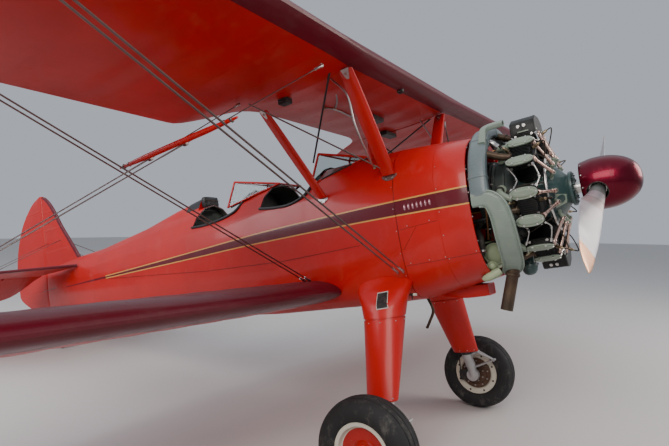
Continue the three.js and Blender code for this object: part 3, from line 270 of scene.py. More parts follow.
class Finish:
    """A material under construction: a Principled shader, its weathering and a running colour."""

    def __init__(self, name, colour, roughness=0.4, metallic=0.0, coat=0.0, scale=1.0):
        self.material = bpy.data.materials.new(name)
        self.material.use_nodes = True
        self.tree = self.material.node_tree
        self.socket = self.tree.nodes["Principled BSDF"].inputs
        for label, value in (("Metallic", metallic), ("Coat Weight", coat),
                             ("Coat Roughness", 0.08), ("Specular IOR Level", 0.32)):
            self.socket[label].default_value = value
        weather = self.node("ShaderNodeGroup")
        weather.node_tree = weathering
        weather.inputs["Scale"].default_value = scale
        self.shade = weather.outputs
        self.colour = (*colour, 1.0)
        self.roughness = roughness
        self.height = None

    def node(self, kind, **settings):
        node = self.tree.nodes.new(kind)
        for name, value in settings.items():
            setattr(node, name, value)
        return node

    def feed(self, sockets, *values):
        for socket, value in zip(sockets, values):
            if isinstance(value, bpy.types.NodeSocket):
                self.tree.links.new(value, socket)
            else:
                socket.default_value = value

    def math(self, operation, *values):
        node = self.node("ShaderNodeMath", operation=operation)
        self.feed(node.inputs, *values)
        return node.outputs[0]

    def tint(self, mask, colour, amount=1.0):
        """Lays a colour over what is there, where the mask says."""
        mix = self.node("ShaderNodeMix", data_type="RGBA")
        factor = self.math("MULTIPLY", mask, amount) if amount != 1.0 else mask
        self.feed((mix.inputs["Factor"], *mix.inputs[6:8]), factor, self.colour, (*colour, 1.0))
        self.colour = mix.outputs[2]

    def raise_by(self, mask, amount):
        """Adds a mask to the relief of the surface, in metres."""
        step = self.math("MULTIPLY", mask, amount)
        self.height = step if self.height is None else self.math("ADD", self.height, step)

    def place(self):
        """The two pattern coordinates that a piece carries."""
        parts = self.node("ShaderNodeSeparateXYZ")
        self.feed(parts.inputs, self.node("ShaderNodeUVMap", uv_map="place").outputs[0])
        return parts.outputs[0], parts.outputs[1]

    def done(self, mottle=0.12, dust=0.10, scratches=0.0, grain=0.00002,
             dust_colour=(0.40, 0.33, 0.27)):
        plain = isinstance(self.colour, tuple)
        dark = tuple(c * 0.55 for c in (self.colour[:3] if plain else (0.1, 0.02, 0.02)))
        self.tint(self.shade["Mottle"], dark, mottle)
        self.tint(self.shade["Dust"], dust_colour, dust)
        if scratches:
            self.tint(self.shade["Scratches"], (0.6, 0.58, 0.55), scratches)
        rougher = self.math("MULTIPLY_ADD", self.shade["Dust"], 0.25, self.roughness)
        rougher = self.math("MULTIPLY_ADD", self.shade["Mottle"], 0.06, rougher)
        self.raise_by(self.shade["Grain"], grain)
        bump = self.node("ShaderNodeBump")
        self.feed([bump.inputs[k] for k in ("Strength", "Distance", "Height")],
                  1.0, 1.0, self.height)
        self.feed([self.socket[k] for k in ("Base Color", "Roughness", "Normal")],
                  self.colour, rougher, bump.outputs[0])
        return self.material


red = (0.46, 0.006, 0.004)
maroon = (0.105, 0.0018, 0.011)
gold = (0.60, 0.30, 0.07)

# The stripe along the side: x, height of its upper edge and of its lower edge
stripe_table = sorted([
    (-0.55, 0.108, -0.004), (-1.10, 0.117, 0.014), (-1.60, 0.121, 0.026), (-2.30, 0.120, 0.034),
    (-2.70, 0.110, 0.036), (-3.20, 0.094, 0.033), (-3.80, 0.079, 0.032), (-4.60, 0.064, 0.034),
    (-5.30, 0.055, 0.036), (-5.95, 0.047, 0.039)])
pinstripe_half, pinstripe_end = 0.0052, -4.9


def stripe_edge(paint, x, column):
    """The height of one edge of the stripe at x, by a curve through the table."""
    curve = paint.node("ShaderNodeFloatCurve")
    low, span = stripe_table[0][0], stripe_table[-1][0] - stripe_table[0][0]
    points = curve.mapping.curves[0].points
    while len(points) < len(stripe_table):
        points.new(0.5, 0.5)
    for point, row in zip(points, stripe_table):
        point.location = ((row[0] - low) / span, row[column] * 5 + 0.1)
    curve.mapping.update()
    along = paint.math("DIVIDE", paint.math("SUBTRACT", x, low), span)
    paint.feed([curve.inputs["Value"]], along)
    return paint.math("MULTIPLY", paint.math("SUBTRACT", curve.outputs[0], 0.1), 0.2)


def striped(paint):
    x, z = paint.place()
    under_top = paint.math("SUBTRACT", stripe_edge(paint, x, 1), z)
    over_bottom = paint.math("SUBTRACT", z, stripe_edge(paint, x, 2))
    inside = paint.math("MINIMUM", under_top, over_bottom)
    ahead = paint.math("GREATER_THAN", x, stripe_table[0][0])
    paint.tint(paint.math("MULTIPLY", paint.math("GREATER_THAN", inside, 0.0), ahead), maroon)
    edge = paint.math("LESS_THAN", paint.math("ABSOLUTE", inside), pinstripe_half)
    forward = paint.math("GREATER_THAN", x, pinstripe_end)
    paint.tint(paint.math("MULTIPLY", edge, forward), gold)
    return paint


def side_place(point):
    return point.x, point.z


cowl_paint = striped(Finish("red_enamel_striped", red, 0.34, coat=0.20)).done(0.16, 0.06)
plain_red = Finish("red_enamel", red, 0.36, coat=0.12).done(0.16, 0.06)

cowl_thickness = 0.012
outer_rings = [fuselage_ring(x, margin) for x, margin in [
    (-0.606, -0.006), (-0.608, -0.002), (-0.614, 0.0), (-0.680, 0.0), (-0.823, 0.0),
    (-0.8235, -0.002), (-0.8265, -0.002), (-0.827, 0.0), (-0.900, 0.0), (-1.000, 0.0),
    (-1.080, 0.0), (-1.126, 0.0), (-1.1275, -0.002)]]
inner_rings = [fuselage_ring(x, -cowl_thickness) for x in (-1.1275, -0.85, cowl_front)]
mount("nose_cowl_sheet", loft(outer_rings + inner_rings + outer_rings[:1], caps=False),
      cowl_paint, "red_paint", replaces="nose_cowl", uv=side_place)

# Cockpit section
# Formed metal side panels and decking over the tube frame, with two cockpits cut down at the
# sides. The rims are bound with black padded leather, and the inside is painted grey-green.

# Side profile of each opening: rear rim, low side rim, front rim, and clear above
openings = {"front": [(-2.430, 0.330), (-2.250, 0.297), (-2.040, 0.288), (-1.880, 0.370),
                      (-1.800, 0.640), (-2.400, 0.640)],
            "rear": [(-3.345, 0.330), (-3.115, 0.315), (-2.860, 0.338), (-2.700, 0.388),
                     (-2.640, 0.640), (-3.310, 0.640)]}


def rounded(outline):
    """The outline with its corners cut round, apart from the last two, which stand clear."""
    points = [Vector((x, 0, z)) for x, z in outline]
    for _ in range(2):
        softer = [points[0]]
        for a, b in zip(points[:-2], points[1:]):
            softer += [a.lerp(b, 0.25), a.lerp(b, 0.75)]
        points = softer + points[-2:]
    return points


def skin(front, rear, margin, step=0.06):
    count = max(2, round((front - rear) / step))
    xs = [front + (rear - front) * i / count for i in range(count + 1)]
    return loft([fuselage_ring(x, margin, flatness_at(x)) for x in xs])


def skin_shell(outer, inner, inset):
    cutters = [to_mesh("inside", skin(firewall - inset, cockpit_rear + inset, inner))]
    cutters += [to_mesh("opening", slab([p.xz for p in rounded(outline)], -0.6, 0.6))
                for outline in openings.values()]
    end = inset if outer else 0
    return carved(to_mesh("shell", skin(firewall - end, cockpit_rear + end, outer), side_place),
                  cutters)


mount("cockpit_skin", skin_shell(0.0, -0.008, 0.012), cowl_paint, "red_paint",
      replaces="forward_fuselage front_cockpit_section rear_cockpit_section", sharp=24)
interior_paint = Finish("interior_enamel", (0.10, 0.12, 0.10), 0.55, coat=0.05).done(
    0.3, 0.25, 0.15)
mount("cockpit_lining", skin_shell(-0.0085, -0.012, 0.014), interior_paint, "cockpit_grey")


def tube(path, radius, sides=10, closed=False, caps=True):
    """A round bar along a path; the radius may be a list, one for each point."""
    points = [Vector(p) for p in path]
    radii = radius if hasattr(radius, "__len__") else [radius] * len(points)
    last = len(points) - 1
    rings = []
    normal = None
    for i, point in enumerate(points):
        before = points[i - 1] if i > 0 or closed else point
        after = points[(i + 1) % len(points)] if i < last or closed else point
        along = (after - before).normalized()
        if normal is None:
            normal = along.orthogonal().normalized()
        normal = (normal - along * normal.dot(along)).normalized()
        across = along.cross(normal)
        rings.append([point + (normal * c + across * s) * radii[i] for c, s in turns(sides)])
    if closed:
        first = rings[0]
        nearest = min(range(sides), key=lambda k: (rings[-1][k] - first[0]).length)
        rings.append([first[(j - nearest) % sides] for j in range(sides)])
    return loft(rings, caps=caps and not closed)


def smooth_path(points, per_span=8, closed=False):
    """A curve through the points."""
    points = [Vector(p) for p in points]
    count = len(points)
    spans = count if closed else count - 1
    path = []
    for i in range(spans):
        a = points[(i - 1) % count] if closed or i else points[0] * 2 - points[1]
        b, c = points[i], points[(i + 1) % count]
        d = points[(i + 2) % count] if closed or i < spans - 1 else c * 2 - b
        for j in range(per_span):
            t = j / per_span
            path.append(0.5 * (2 * b + (c - a) * t + (2 * a - 5 * b + 4 * c - d) * t * t
                               + (3 * b - a - 3 * c + d) * t ** 3))
    return path if closed else path + points[-1:]


def rim_path(outline):
    """Round the edge of an opening: down the starboard side from the top rear, and back."""
    points = rounded(outline)
    fine = []
    for a, b in zip(points, points[1:]):
        steps = max(1, round((b - a).length / 0.02))
        fine += [a.lerp(b, k / steps) for k in range(steps)]
    starboard = [side_point(p.x, p.z) for p in fine + points[:1]
                 if p.z < section_at(p.x)[1] - 0.002]
    start = max(range(len(starboard)), key=lambda k: (starboard[k] - starboard[k - 1]).length)
    starboard = starboard[start:] + starboard[:start]
    return starboard + [Vector((p.x, -p.y, p.z)) for p in reversed(starboard)]


coaming_leather = Finish("coaming_leather", (0.012, 0.012, 0.014), 0.42, coat=0.1).done(
    0.3, 0.12, grain=0.0006)
for word, outline in openings.items():
    mount(f"{word}_coaming", tube(rim_path(outline), 0.0125, closed=True), coaming_leather,
          "leather", sharp=60)

# Rear fuselage
# Doped fabric drawn over stringers, which show as faint ridges, from the rear cockpit to the stern
# post. A sheet fairing runs down its back from the headrest and fades out before the fin.

ridge_table = np.array([(-4.400, 0.505, 0.060), (-3.830, 0.596, 0.130), (-3.390, 0.655, 0.150)])
ridge_root = 0.400


def ridge_height(x, y):
    top, half = looked_up(ridge_table, x)
    inside = 1 - (y / half) ** 2
    return ridge_root + (top - ridge_root) * math.sqrt(inside) if inside > 0 else 0.0


def rear_ring(x):
    ring = fuselage_ring(x, 0.0, flatness_at(x))
    if x < ridge_table[0, 0]:
        return ring
    return [Vector((p.x, p.y, max(p.z, ridge_height(x, p.y)))) if p.z > 0.3 else p for p in ring]


bay_length = 0.075
bay_count = round((cockpit_rear - stern_post) / bay_length)
rear_rings = [rear_ring(cockpit_rear - 0.0005 + (stern_post - cockpit_rear) * i / bay_count)
              for i in range(bay_count + 1)]
fabric_paint = striped(Finish("red_fabric_striped", red, 0.38, coat=0.15)).done(
    0.16, 0.10, grain=0.00006)
mount("rear_fuselage_skin", loft(rear_rings), fabric_paint, "red_fabric",
      replaces="rear_fuselage", sharp=35, uv=side_place)

# Wings
# Spruce ribs under doped fabric, which sinks a little between them behind a stiff leading edge.
# The leading edges are maroon with a gold line above, and the rest is red; tapes cover each rib.

wing_chord, wing_thickness = 1.524, 0.196
camber, camber_peak = 0.02, 0.2
dihedral = math.radians(1.4)
upper_front, upper_incidence = Vector((-0.987, 0, 1.069)), math.radians(4)
lower_front, lower_incidence = Vector((-1.700, 0, -0.452)), math.radians(3)
centre_half, tip_rounding = 0.790, 0.760
lower_half_span = 4.750
rib_spacing, rib_tape_half = 0.300, 0.014
fabric_sink = 0.0045
section_steps = 26


def section_height(t, length, thickness):
    """Height of the section's middle line and half its thickness, at a share of the chord."""
    base = 0.2969 * math.sqrt(t) - 0.126 * t - 0.3516 * t ** 2 + 0.2843 * t ** 3 - 0.1036 * t ** 4
    if t < camber_peak:
        rise = camber / camber_peak ** 2 * (2 * camber_peak * t - t * t)
    else:
        rise = camber / (1 - camber_peak) ** 2 * (1 - 2 * camber_peak + 2 * camber_peak * t - t * t)
    return rise * length, 5 * thickness * base + 0.002 * t


def surface_point(t, y, nose, length, thickness, side):
    """A point of the upper (1) or lower (-1) surface at a share of the chord."""
    middle, half = section_height(t, length, thickness)
    stiff = min(1.0, max(0.0, (t - 0.10) / 0.12)) * min(1.0, max(0.0, (0.97 - t) / 0.1))
    half -= (fabric_sink * stiff * sin(pi * y / rib_spacing) ** 2
             * min(1.0, thickness / wing_thickness))
    return Vector((nose - length * t, y, middle + side * half))


def wing_ring(y, nose, length, thickness, last=1.0):
    """A rib's outline at y, from the trailing edge over the top, cut at a share of the chord."""
    shares = [min(last, (1 - cos(pi * i / section_steps)) / 2) for i in range(section_steps + 1)]
    upper, lower = ([surface_point(t, y, nose, length, thickness, side) for t in shares]
                    for side in (1, -1))
    return upper[::-1] + lower[1:]


def rib_places(start, end, per_bay=6):
    first, last = math.ceil(start / rib_spacing * per_bay), math.floor(end / rib_spacing * per_bay)
    inner = [k * rib_spacing / per_bay for k in range(first, last + 1)]
    return [start] + [y for y in inner if start + 0.01 < y < end - 0.01] + [end]


def half_wing(root_chord, start, half_span, bay=None):
    """Rings from the root to the rounded tip; a bay for an aileron is cut from the rear."""
    rings = []
    ys = rib_places(start, half_span - tip_rounding)
    ys += [half_span - tip_rounding * (1 - sin(pi / 2 * k / 16)) for k in range(1, 16)]
    ys += [half_span - tip_rounding * 0.015]
    if bay:
        ys = sorted(ys + [bay[0] - 0.001, bay[0], bay[1], bay[1] + 0.001])
    for y in ys:
        part = max(0.0, 1 - (half_span - y) / tip_rounding)
        rounding = math.sqrt(max(0.0, 1 - part ** 2))
        last = bay[2] if bay and bay[0] <= y <= bay[1] else 1.0
        rings.append(wing_ring(y, tip_nose(y, half_span), root_chord(y) * rounding,
                               wing_thickness * rounding, last))
    middle = rings[-1][0].lerp(rings[-1][section_steps], 0.5)
    drawn = [middle * 0.6 + p * 0.4 for p in rings[-1]]
    return loft(rings + [[Vector((p.x, rings[-1][0].y + 0.004, p.z)) for p in drawn]])


def wing_place(front, incidence, side, aside=0.0):
    return (stance @ Matrix.Translation(front + Vector((0, side * aside, 0)))
            @ Matrix.Rotation(side * dihedral, 4, "X") @ Matrix.Rotation(-incidence, 4, "Y"))


def mirrored(shape, side):
    return shape if side > 0 else ([(x, -y, z) for x, y, z in shape[0]], shape[1])


def wing_finish(name, band):
    """Red with a maroon leading edge and a gold line above it. Tapes and stitches mark the ribs."""
    paint = Finish(name, red, 0.40, coat=0.12)
    back, along = paint.place()
    behind = paint.math("ABSOLUTE", back)
    paint.tint(paint.math("LESS_THAN", behind, band), maroon)
    paint.tint(paint.math("COMPARE", back, band + 0.006, 0.0035), gold)
    off_rib = paint.math("PINGPONG", along, rib_spacing / 2)
    cloth = paint.math("GREATER_THAN", behind, band)
    tape = paint.math("LESS_THAN", off_rib, rib_tape_half)
    paint.raise_by(paint.math("MULTIPLY", tape, cloth), 0.0005)
    knot = paint.math("PINGPONG", behind, 0.038)
    stitch = paint.math("MULTIPLY", paint.math("LESS_THAN", knot, 0.004),
                        paint.math("LESS_THAN", off_rib, 0.004))
    paint.raise_by(paint.math("MULTIPLY", stitch, cloth), 0.0009)
    return paint.done(0.22, 0.07, grain=0.00005)


def tip_nose(y, half_span):
    """How far the leading edge is swept back by the rounded tip at y."""
    part = min(1.0, max(0.0, 1 - (half_span - abs(y)) / tip_rounding))
    return -0.4 * wing_chord * (1 - math.sqrt(1 - part * part))


def full_chord(y):
    return wing_chord


def wing_uv(half_span, root_chord=full_chord):
    """Distance behind the nose, negative on the lower surface, and distance along the span."""
    def place(point):
        part = max(0.0, 1 - (half_span - abs(point.y)) / tip_rounding)
        length = root_chord(abs(point.y)) * math.sqrt(max(0.002, 1 - part ** 2))
        back = max(1e-4, tip_nose(point.y, half_span) - point.x)
        middle = section_height(min(1.0, back / length), length, 0)[0]
        return (back if point.z >= middle else -back), abs(point.y)
    return place


upper_paint = wing_finish("upper_wing_paint", 0.135)
lower_paint = wing_finish("lower_wing_paint", 0.30)


def centre_chord(y):
    return 1.040 + 0.055 * max(0.0, (abs(y) - 0.60) / 0.19) ** 2


mount("upper_centre_skin", loft([wing_ring(y, 0, centre_chord(y), wing_thickness)
                                 for y in np.linspace(-centre_half, centre_half, 33)]),
      upper_paint, "red_fabric", replaces="upper_wing_center", uv=wing_uv(9.0, centre_chord),
      place=wing_place(upper_front, upper_incidence, 0))


def upper_chord(y):
    return np.interp(y, (0, 0.06, 0.115, 0.165, 0.215, 0.262, 0.31),
                     (1.095, 1.16, 1.27, 1.365, 1.44, 1.497, 1.524))


aileron_inner, aileron_outer = 2.200, 3.980
hinge_x, hinge_z, hinge_pin = -1.160, 0.004, 0.007
aileron_nose, swing_gap = 0.034, 0.007
hinge_share = -hinge_x / wing_chord
# Nose of the aileron ahead of its hinge, and a hinge arm: distance ahead and height
nose_curve = [(0.008, 0.060), (0.016, 0.054), (0.023, 0.044), (0.029, 0.030), (0.033, 0.014),
              (0.034, 0.0), (0.033, -0.012), (0.028, -0.022), (0.020, -0.030), (0.010, -0.036)]
arm_outline = [(-1.100, 0.034), (-1.150, 0.022), (-1.172, 0.012), (-1.172, -0.004),
               (-1.150, -0.010), (-1.100, -0.018)]
aileron_brackets = [2.380, 3.090, 3.800]
slot_half = 0.011


def slotted(places, brackets):
    """Pairs of a place along the span and whether a slot for a bracket is cut there."""
    pairs = [(y, False) for y in places if all(abs(y - b) > slot_half + 0.002 for b in brackets)]
    return sorted(pairs + [(b + s * (slot_half + more), more == 0) for b in brackets
                           for s in (-1, 1) for more in (0, 1e-4)])


def aileron_ring(y, cut):
    """Its own rounded nose about the hinge, and behind it the wing's outline."""
    shares = [hinge_share + (1 - hinge_share) * k / 9 for k in range(10)]
    upper, lower = ([surface_point(t, y, 0, wing_chord, wing_thickness, side) for t in shares]
                    for side in (1, -1))
    nose = [Vector((hinge_x + ahead, y, hinge_z + up)) for ahead, up in nose_curve]
    front = hinge_x - aileron_nose if cut else hinge_x + aileron_nose
    return [Vector((min(p.x, front), y, p.z)) for p in upper[::-1] + nose + lower]


steel = Finish("satin_steel", (0.42, 0.41, 0.40), 0.34, metallic=1.0).done(
    0.25, 0.12, 0.2, 0.00003)
hinge_eye = [(hinge_x + hinge_pin * c, hinge_z + hinge_pin * s) for c, s in turns(12)]
hinge_arms = join(*[slab(outline, y - half, y + half) for y in aileron_brackets
                    for outline, half in ((arm_outline, 0.005), (hinge_eye, 0.010))])
aileron = loft([aileron_ring(y, cut) for y, cut in
                slotted(rib_places(aileron_inner, aileron_outer), aileron_brackets)])
bay = (aileron_inner - swing_gap, aileron_outer + swing_gap,
       (-hinge_x - aileron_nose - swing_gap) / wing_chord)
upper_half_span = 4.900 - centre_half
both = (("left", 1), ("right", -1))
for word, side in both:
    mount(f"upper_wing_skin_{word}",
          mirrored(half_wing(upper_chord, 0.0004, upper_half_span), side),
          upper_paint, "red_fabric", replaces=f"upper_wing_{word}",
          uv=wing_uv(upper_half_span, upper_chord),
          place=wing_place(upper_front, upper_incidence, side, centre_half))
    place = wing_place(lower_front, lower_incidence, side)
    mount(f"lower_wing_skin_{word}",
          mirrored(half_wing(full_chord, 0.30, lower_half_span, bay), side), lower_paint,
          "red_fabric", replaces=f"lower_wing_{word}", uv=wing_uv(lower_half_span), place=place)
    mount(f"aileron_brackets_{word}", mirrored(hinge_arms, side), steel, "bright_metal",
          place=place)
    mount(f"aileron_skin_{word}", mirrored(aileron, side), upper_paint, "red_fabric",
          f"{word}_aileron", f"aileron_{word}", uv=wing_uv(lower_half_span), place=place)

# Engine crankcase
# A seven-cylinder radial: a seven-sided aluminium barrel with a pad under each cylinder, a conical
# nose case with a studded cover, and the supercharger case bolted behind. Enamelled grey-green.

cylinder_count = 7
cylinder_plane = -0.270


def around(shape, index, count=cylinder_count):
    """The shape turned about the thrust line to the place of one of several, counted from the top
    towards starboard."""
    turn = Matrix.Rotation(2 * pi * index / count, 4, "X")
    return [turn @ Vector(p) for p in shape[0]], shape[1]


def all_around(*shapes):
    return join(*[around(join(*shapes), i) for i in range(cylinder_count)])


def spots_around(spots, places=range(cylinder_count)):
    """Places and the ways that they face, repeated on every cylinder or on some."""
    turn = [Matrix.Rotation(2 * pi * i / cylinder_count, 3, "X") for i in places]
    return [(t @ Vector(at), t @ Vector(facing)) for t in turn for at, facing in spots]


def turned(profile, sides=64):
    """A profile of (x, radius) pairs turned about the thrust line."""
    return loft([[Vector((x, -r * s, r * c)) for c, s in turns(sides)] for x, r in profile])


def stack(profile, sides, x=cylinder_plane):
    """A profile of (height, radius) pairs turned about an upright line."""
    return loft([[Vector((x + r * c, r * s, z)) for c, s in turns(sides)] for z, r in profile])


def rounded_box(low, high, radius=0.006, steps=3):
    """A box whose upright edges are rounded and whose top and foot are drawn in a little."""
    (x0, y0, z0), (x1, y1, z1) = low, high
    plan = []
    for cx, cy, start in ((x1, y1, 0), (x0, y1, 1), (x0, y0, 2), (x1, y0, 3)):
        sx, sy = (-1 if cx == x1 else 1), (-1 if cy == y1 else 1)
        for k in range(steps + 1):
            a = pi / 2 * (start + k / steps)
            plan.append((cx + sx * radius + radius * cos(a), cy + sy * radius + radius * sin(a)))
    mx, my, inset = (x0 + x1) / 2, (y0 + y1) / 2, 0.6 * radius
    sx, sy = 1 - inset / ((x1 - x0) / 2), 1 - inset / ((y1 - y0) / 2)
    drawn = [(mx + (x - mx) * sx, my + (y - my) * sy) for x, y in plan]
    levels = [(drawn, z0), (plan, z0 + inset), (plan, z1 - inset), (drawn, z1)]
    return loft([[(x, y, z) for x, y in ring] for ring, z in levels])


def geometry_tree(name, *inputs):
    """A tree's parts, with a function that ends it: copies made real, with their material."""
    tree, new, link, given, out = node_tree(
        name, "GeometryNodeTree", [("Geometry", "Geometry"), *inputs, ("Finish", "Material")],
        [("Geometry", "Geometry")])

    def end(copies):
        real, paint = new("GeometryNodeRealizeInstances"), new("GeometryNodeSetMaterial")
        link(copies.outputs[0], real.inputs[0])
        link(real.outputs[0], paint.inputs["Geometry"])
        link(given["Finish"], paint.inputs["Material"])
        link(paint.outputs[0], out[0])

    return tree, new, link, given, end


# Repeats its input along a line, each copy a set amount larger than the last
repeat_tree, new, link, given, end = geometry_tree(
    "repeat_along", ("Count", "Int"), ("Step", "Vector"), ("Growth", "Float"))
line, size = new("GeometryNodeMeshLine"), new("ShaderNodeMath")
copies = new("GeometryNodeInstanceOnPoints")
size.operation = "MULTIPLY_ADD"
size.inputs[2].default_value = 1.0
link(given["Count"], line.inputs["Count"])
link(given["Step"], line.inputs["Offset"])
link(new("GeometryNodeInputIndex").outputs[0], size.inputs[0])
link(given["Growth"], size.inputs[1])
link(line.outputs[0], copies.inputs["Points"])
link(given["Geometry"], copies.inputs["Instance"])
link(size.outputs[0], copies.inputs["Scale"])
end(copies)

# Sets a head on every point of its input, along the point's own facing
head_tree, new, link, given, end = geometry_tree(
    "fasteners", ("Sides", "Int"), ("Radius", "Float"), ("Height", "Float"), ("Seed", "Int"))
both_steps = new("GeometryNodeJoinGeometry")
for share, rise in ((1.0, 0.75), (0.72, 1.0)):
    head = new("GeometryNodeMeshCylinder")
    for socket, factor, source in (("Radius", share, "Radius"), ("Depth", 2 * rise, "Height")):
        scaled = new("ShaderNodeMath")
        scaled.operation = "MULTIPLY"
        scaled.inputs[1].default_value = factor
        link(given[source], scaled.inputs[0])
        link(scaled.outputs[0], head.inputs[socket])
    link(given["Sides"], head.inputs["Vertices"])
    link(head.outputs[0], both_steps.inputs[0])
facing, aim = new("GeometryNodeInputNamedAttribute"), new("FunctionNodeAlignEulerToVector")
facing.data_type = "FLOAT_VECTOR"
facing.inputs["Name"].default_value = "facing"
aim.axis = "Z"
link(facing.outputs[0], aim.inputs["Vector"])
chance, turn = new("FunctionNodeRandomValue"), new("FunctionNodeRotateEuler")
chance.data_type = "FLOAT"
chance.inputs[3].default_value = 2 * pi
link(given["Seed"], chance.inputs["Seed"])
turn.rotation_type, turn.space = "AXIS_ANGLE", "LOCAL"
turn.inputs["Axis"].default_value = (0, 0, 1)
link(aim.outputs[0], turn.inputs[0])
link(chance.outputs[1], turn.inputs["Angle"])
copies = new("GeometryNodeInstanceOnPoints")
link(given["Geometry"], copies.inputs["Points"])
link(both_steps.outputs[0], copies.inputs["Instance"])
link(turn.outputs[0], copies.inputs["Rotation"])
end(copies)


def grown(mesh, tree, **values):
    """The plain mesh that a tree makes of a mesh, with its inputs set by name."""
    seed = scene_object("seed", mesh)
    modifier = seed.modifiers.new("tree", "NODES")
    modifier.node_group = tree
    for item in tree.interface.items_tree:
        if item.in_out == "INPUT" and item.name in values:
            modifier[item.identifier] = values[item.name]
    result = finished(seed)
    seed.modifiers.clear()
    bpy.data.objects.remove(seed)
    return result


def heads(name, spots, radius, height, material, slot="bright_metal", sides=6, body="airframe"):
    """Bolt or screw heads at a list of places, each with the way that it faces."""
    mesh = bpy.data.meshes.new(name)
    mesh.from_pydata([tuple(stance @ Vector(at)) for at, facing in spots], [], [])
    layer = mesh.attributes.new("facing", "FLOAT_VECTOR", "POINT")
    for item, (at, facing) in zip(layer.data, spots):
        item.vector = stance.to_3x3() @ Vector(facing)
    made = grown(mesh, head_tree, Sides=sides, Radius=radius, Height=height, Seed=7,
                 Finish=material)
    mount(name, made, material, slot, body, sharp=40)


def ring_of(count, radius, x, start=0.0, facing=(1, 0, 0), lean=0.0):
    """Places round the thrust line that all face one way, or outwards where facing is None."""
    outs = [Vector((0, -s, c)) for c, s in turns(count, start)]
    return [(Vector((x, 0, 0)) + out * radius, facing or out + Vector((lean, 0, 0)))
            for out in outs]


def enamel(name, colour, roughness=0.42, metallic=0.0):
    return Finish(name, colour, roughness, metallic, coat=0.15, scale=3.0).done(
        0.35, 0.28, 0.25, 0.00008, (0.30, 0.25, 0.19))


case_paint = enamel("engine_teal", (0.030, 0.062, 0.060), 0.30)
cover_paint = enamel("engine_green", (0.225, 0.275, 0.215), 0.34)
blower_paint = enamel("engine_dark", (0.035, 0.045, 0.042))
black_enamel = Finish("engine_black", (0.0040, 0.0045, 0.0045), 0.46, coat=0.05, scale=3.0).done(
    0.35, 0.10, 0.12, 0.00008, (0.14, 0.12, 0.09))
bright_steel = Finish("bright_steel", (0.56, 0.55, 0.53), 0.26, metallic=1.0, scale=3.0).done(
    0.3, 0.1, 0.2)


def cone(t, lift=0.0, power=0.8):
    """Distance back and radius on the cone of the nose case, at a share of its length."""
    return -0.092 - 0.094 * t, 0.101 + 0.100 * t ** power + lift


nose_profile = [(-0.046, 0.046), (-0.046, 0.074), (-0.050, 0.078), (-0.050, 0.104), (-0.053, 0.111),
                (-0.063, 0.112), (-0.072, 0.110), (-0.076, 0.098), (-0.084, 0.096),
                *[cone(t) for t in np.linspace(0.05, 1, 12)],
                (-0.188, 0.216), (-0.196, 0.219), (-0.204, 0.219), (-0.2045, 0.196)]
rib = loft([[Vector((-0.092 - 0.094 * t, s * 0.004, 0.094 + 0.104 * t ** 0.8 + h)) for s, h in
             ((-1, -0.012), (-1, 0.006), (1, 0.006), (1, -0.012))] for t in np.linspace(0, 1, 8)])
mount("nose_case", [turned(nose_profile), *[around(rib, i + 0.5) for i in range(cylinder_count)]],
      case_paint, "engine_grey", replaces="crankcase")

corner = 0.212 / cos(pi / cylinder_count)
seven = [[Vector((x, -corner * k * sin(a), corner * k * cos(a))) for a in
          (2 * pi * (i + 0.5 + j / 6) / cylinder_count
           for i in range(cylinder_count) for j in (-0.35, 0.35))]
         for x, k in ((-0.188, 0.93), (-0.196, 0.985), (-0.344, 0.985), (-0.352, 0.93))]
pad = stack([(0.196, 0.096), (0.210, 0.096), (0.2135, 0.092)], 24)
blower = [(-0.350, 0.20), (-0.352, 0.224), (-0.364, 0.228), (-0.374, 0.244), (-0.390, 0.262),
          (-0.412, 0.272), (-0.416, 0.282), (-0.428, 0.282), (-0.432, 0.270), (-0.476, 0.270),
          (-0.480, 0.278), (-0.499, 0.278), (-0.4995, 0.196), (-0.540, 0.180), (-0.560, 0.150),
          (-0.638, 0.146), (-0.640, 0.128)]
mount("crankcase_barrel", [loft(seven), all_around(pad)], case_paint, "engine_grey", sharp=25)
mount("blower_case", turned(blower), blower_paint, "engine_grey")

# Blank data plate on the nose case, between two of its ribs: degrees round it and share back
plate_ring = [(110, 0.00), (136, 0.08), (129, 0.74), (99, 0.60)]
plate_points = []
for lift in (0.0045, 0.0065):
    ring = []
    for degrees, t in plate_ring:
        a, (x, r) = math.radians(degrees), cone(t, lift)
        ring.append(Vector((x, -r * sin(a), r * cos(a))))
    plate_points.append(ring)
mount("nose_data_plate", loft(plate_points), cover_paint, "engine_grey")

# Sump between the two lowest cylinders
sump_profile = [(-0.225, 0.040), (-0.300, 0.038), (-0.400, 0.040), (-0.436, 0.041),
                (-0.440, 0.056), (-0.452, 0.056), (-0.456, 0.051), (-0.486, 0.046),
                (-0.504, 0.034), (-0.513, 0.016)]
mount("oil_sump", loft([[Vector((-0.405 + r * c, -0.010 + (z + 0.230) * 0.178 + r * s, z))
                         for c, s in turns(28)] for z, r in sump_profile]),
      case_paint, "engine_grey")

# Cylinders
# Steel barrels with close, deep fins, black enamelled, under cast heads that carry two rocker
# boxes each, with more fins between them. Four nuts hold each barrel's foot to its pad.

fin_count, fin_foot, head_foot = 15, 0.232, 0.372
rocker_x, rocker_aside = -0.275, 0.085
rocker_half = (0.082, 0.0355)
tall_boxes = {0: -1, 4: 1}


def disc(radius, thickness, z):
    """A disc about a cylinder's line, its edge a little rounded."""
    return stack([(z + thickness * share, radius * k) for share, k in
                  ((0, 0.985), (0.3, 1.0), (0.7, 1.0), (1, 0.985))], 40)


def stadium(half_length, half_width, z, y=0.0):
    """An oval a little fuller than an ellipse, drawn to blunt points."""
    return [Vector((rocker_x + half_length * bent(c, 0.86), y + half_width * bent(s, 0.86), z))
            for c, s in turns(32)]


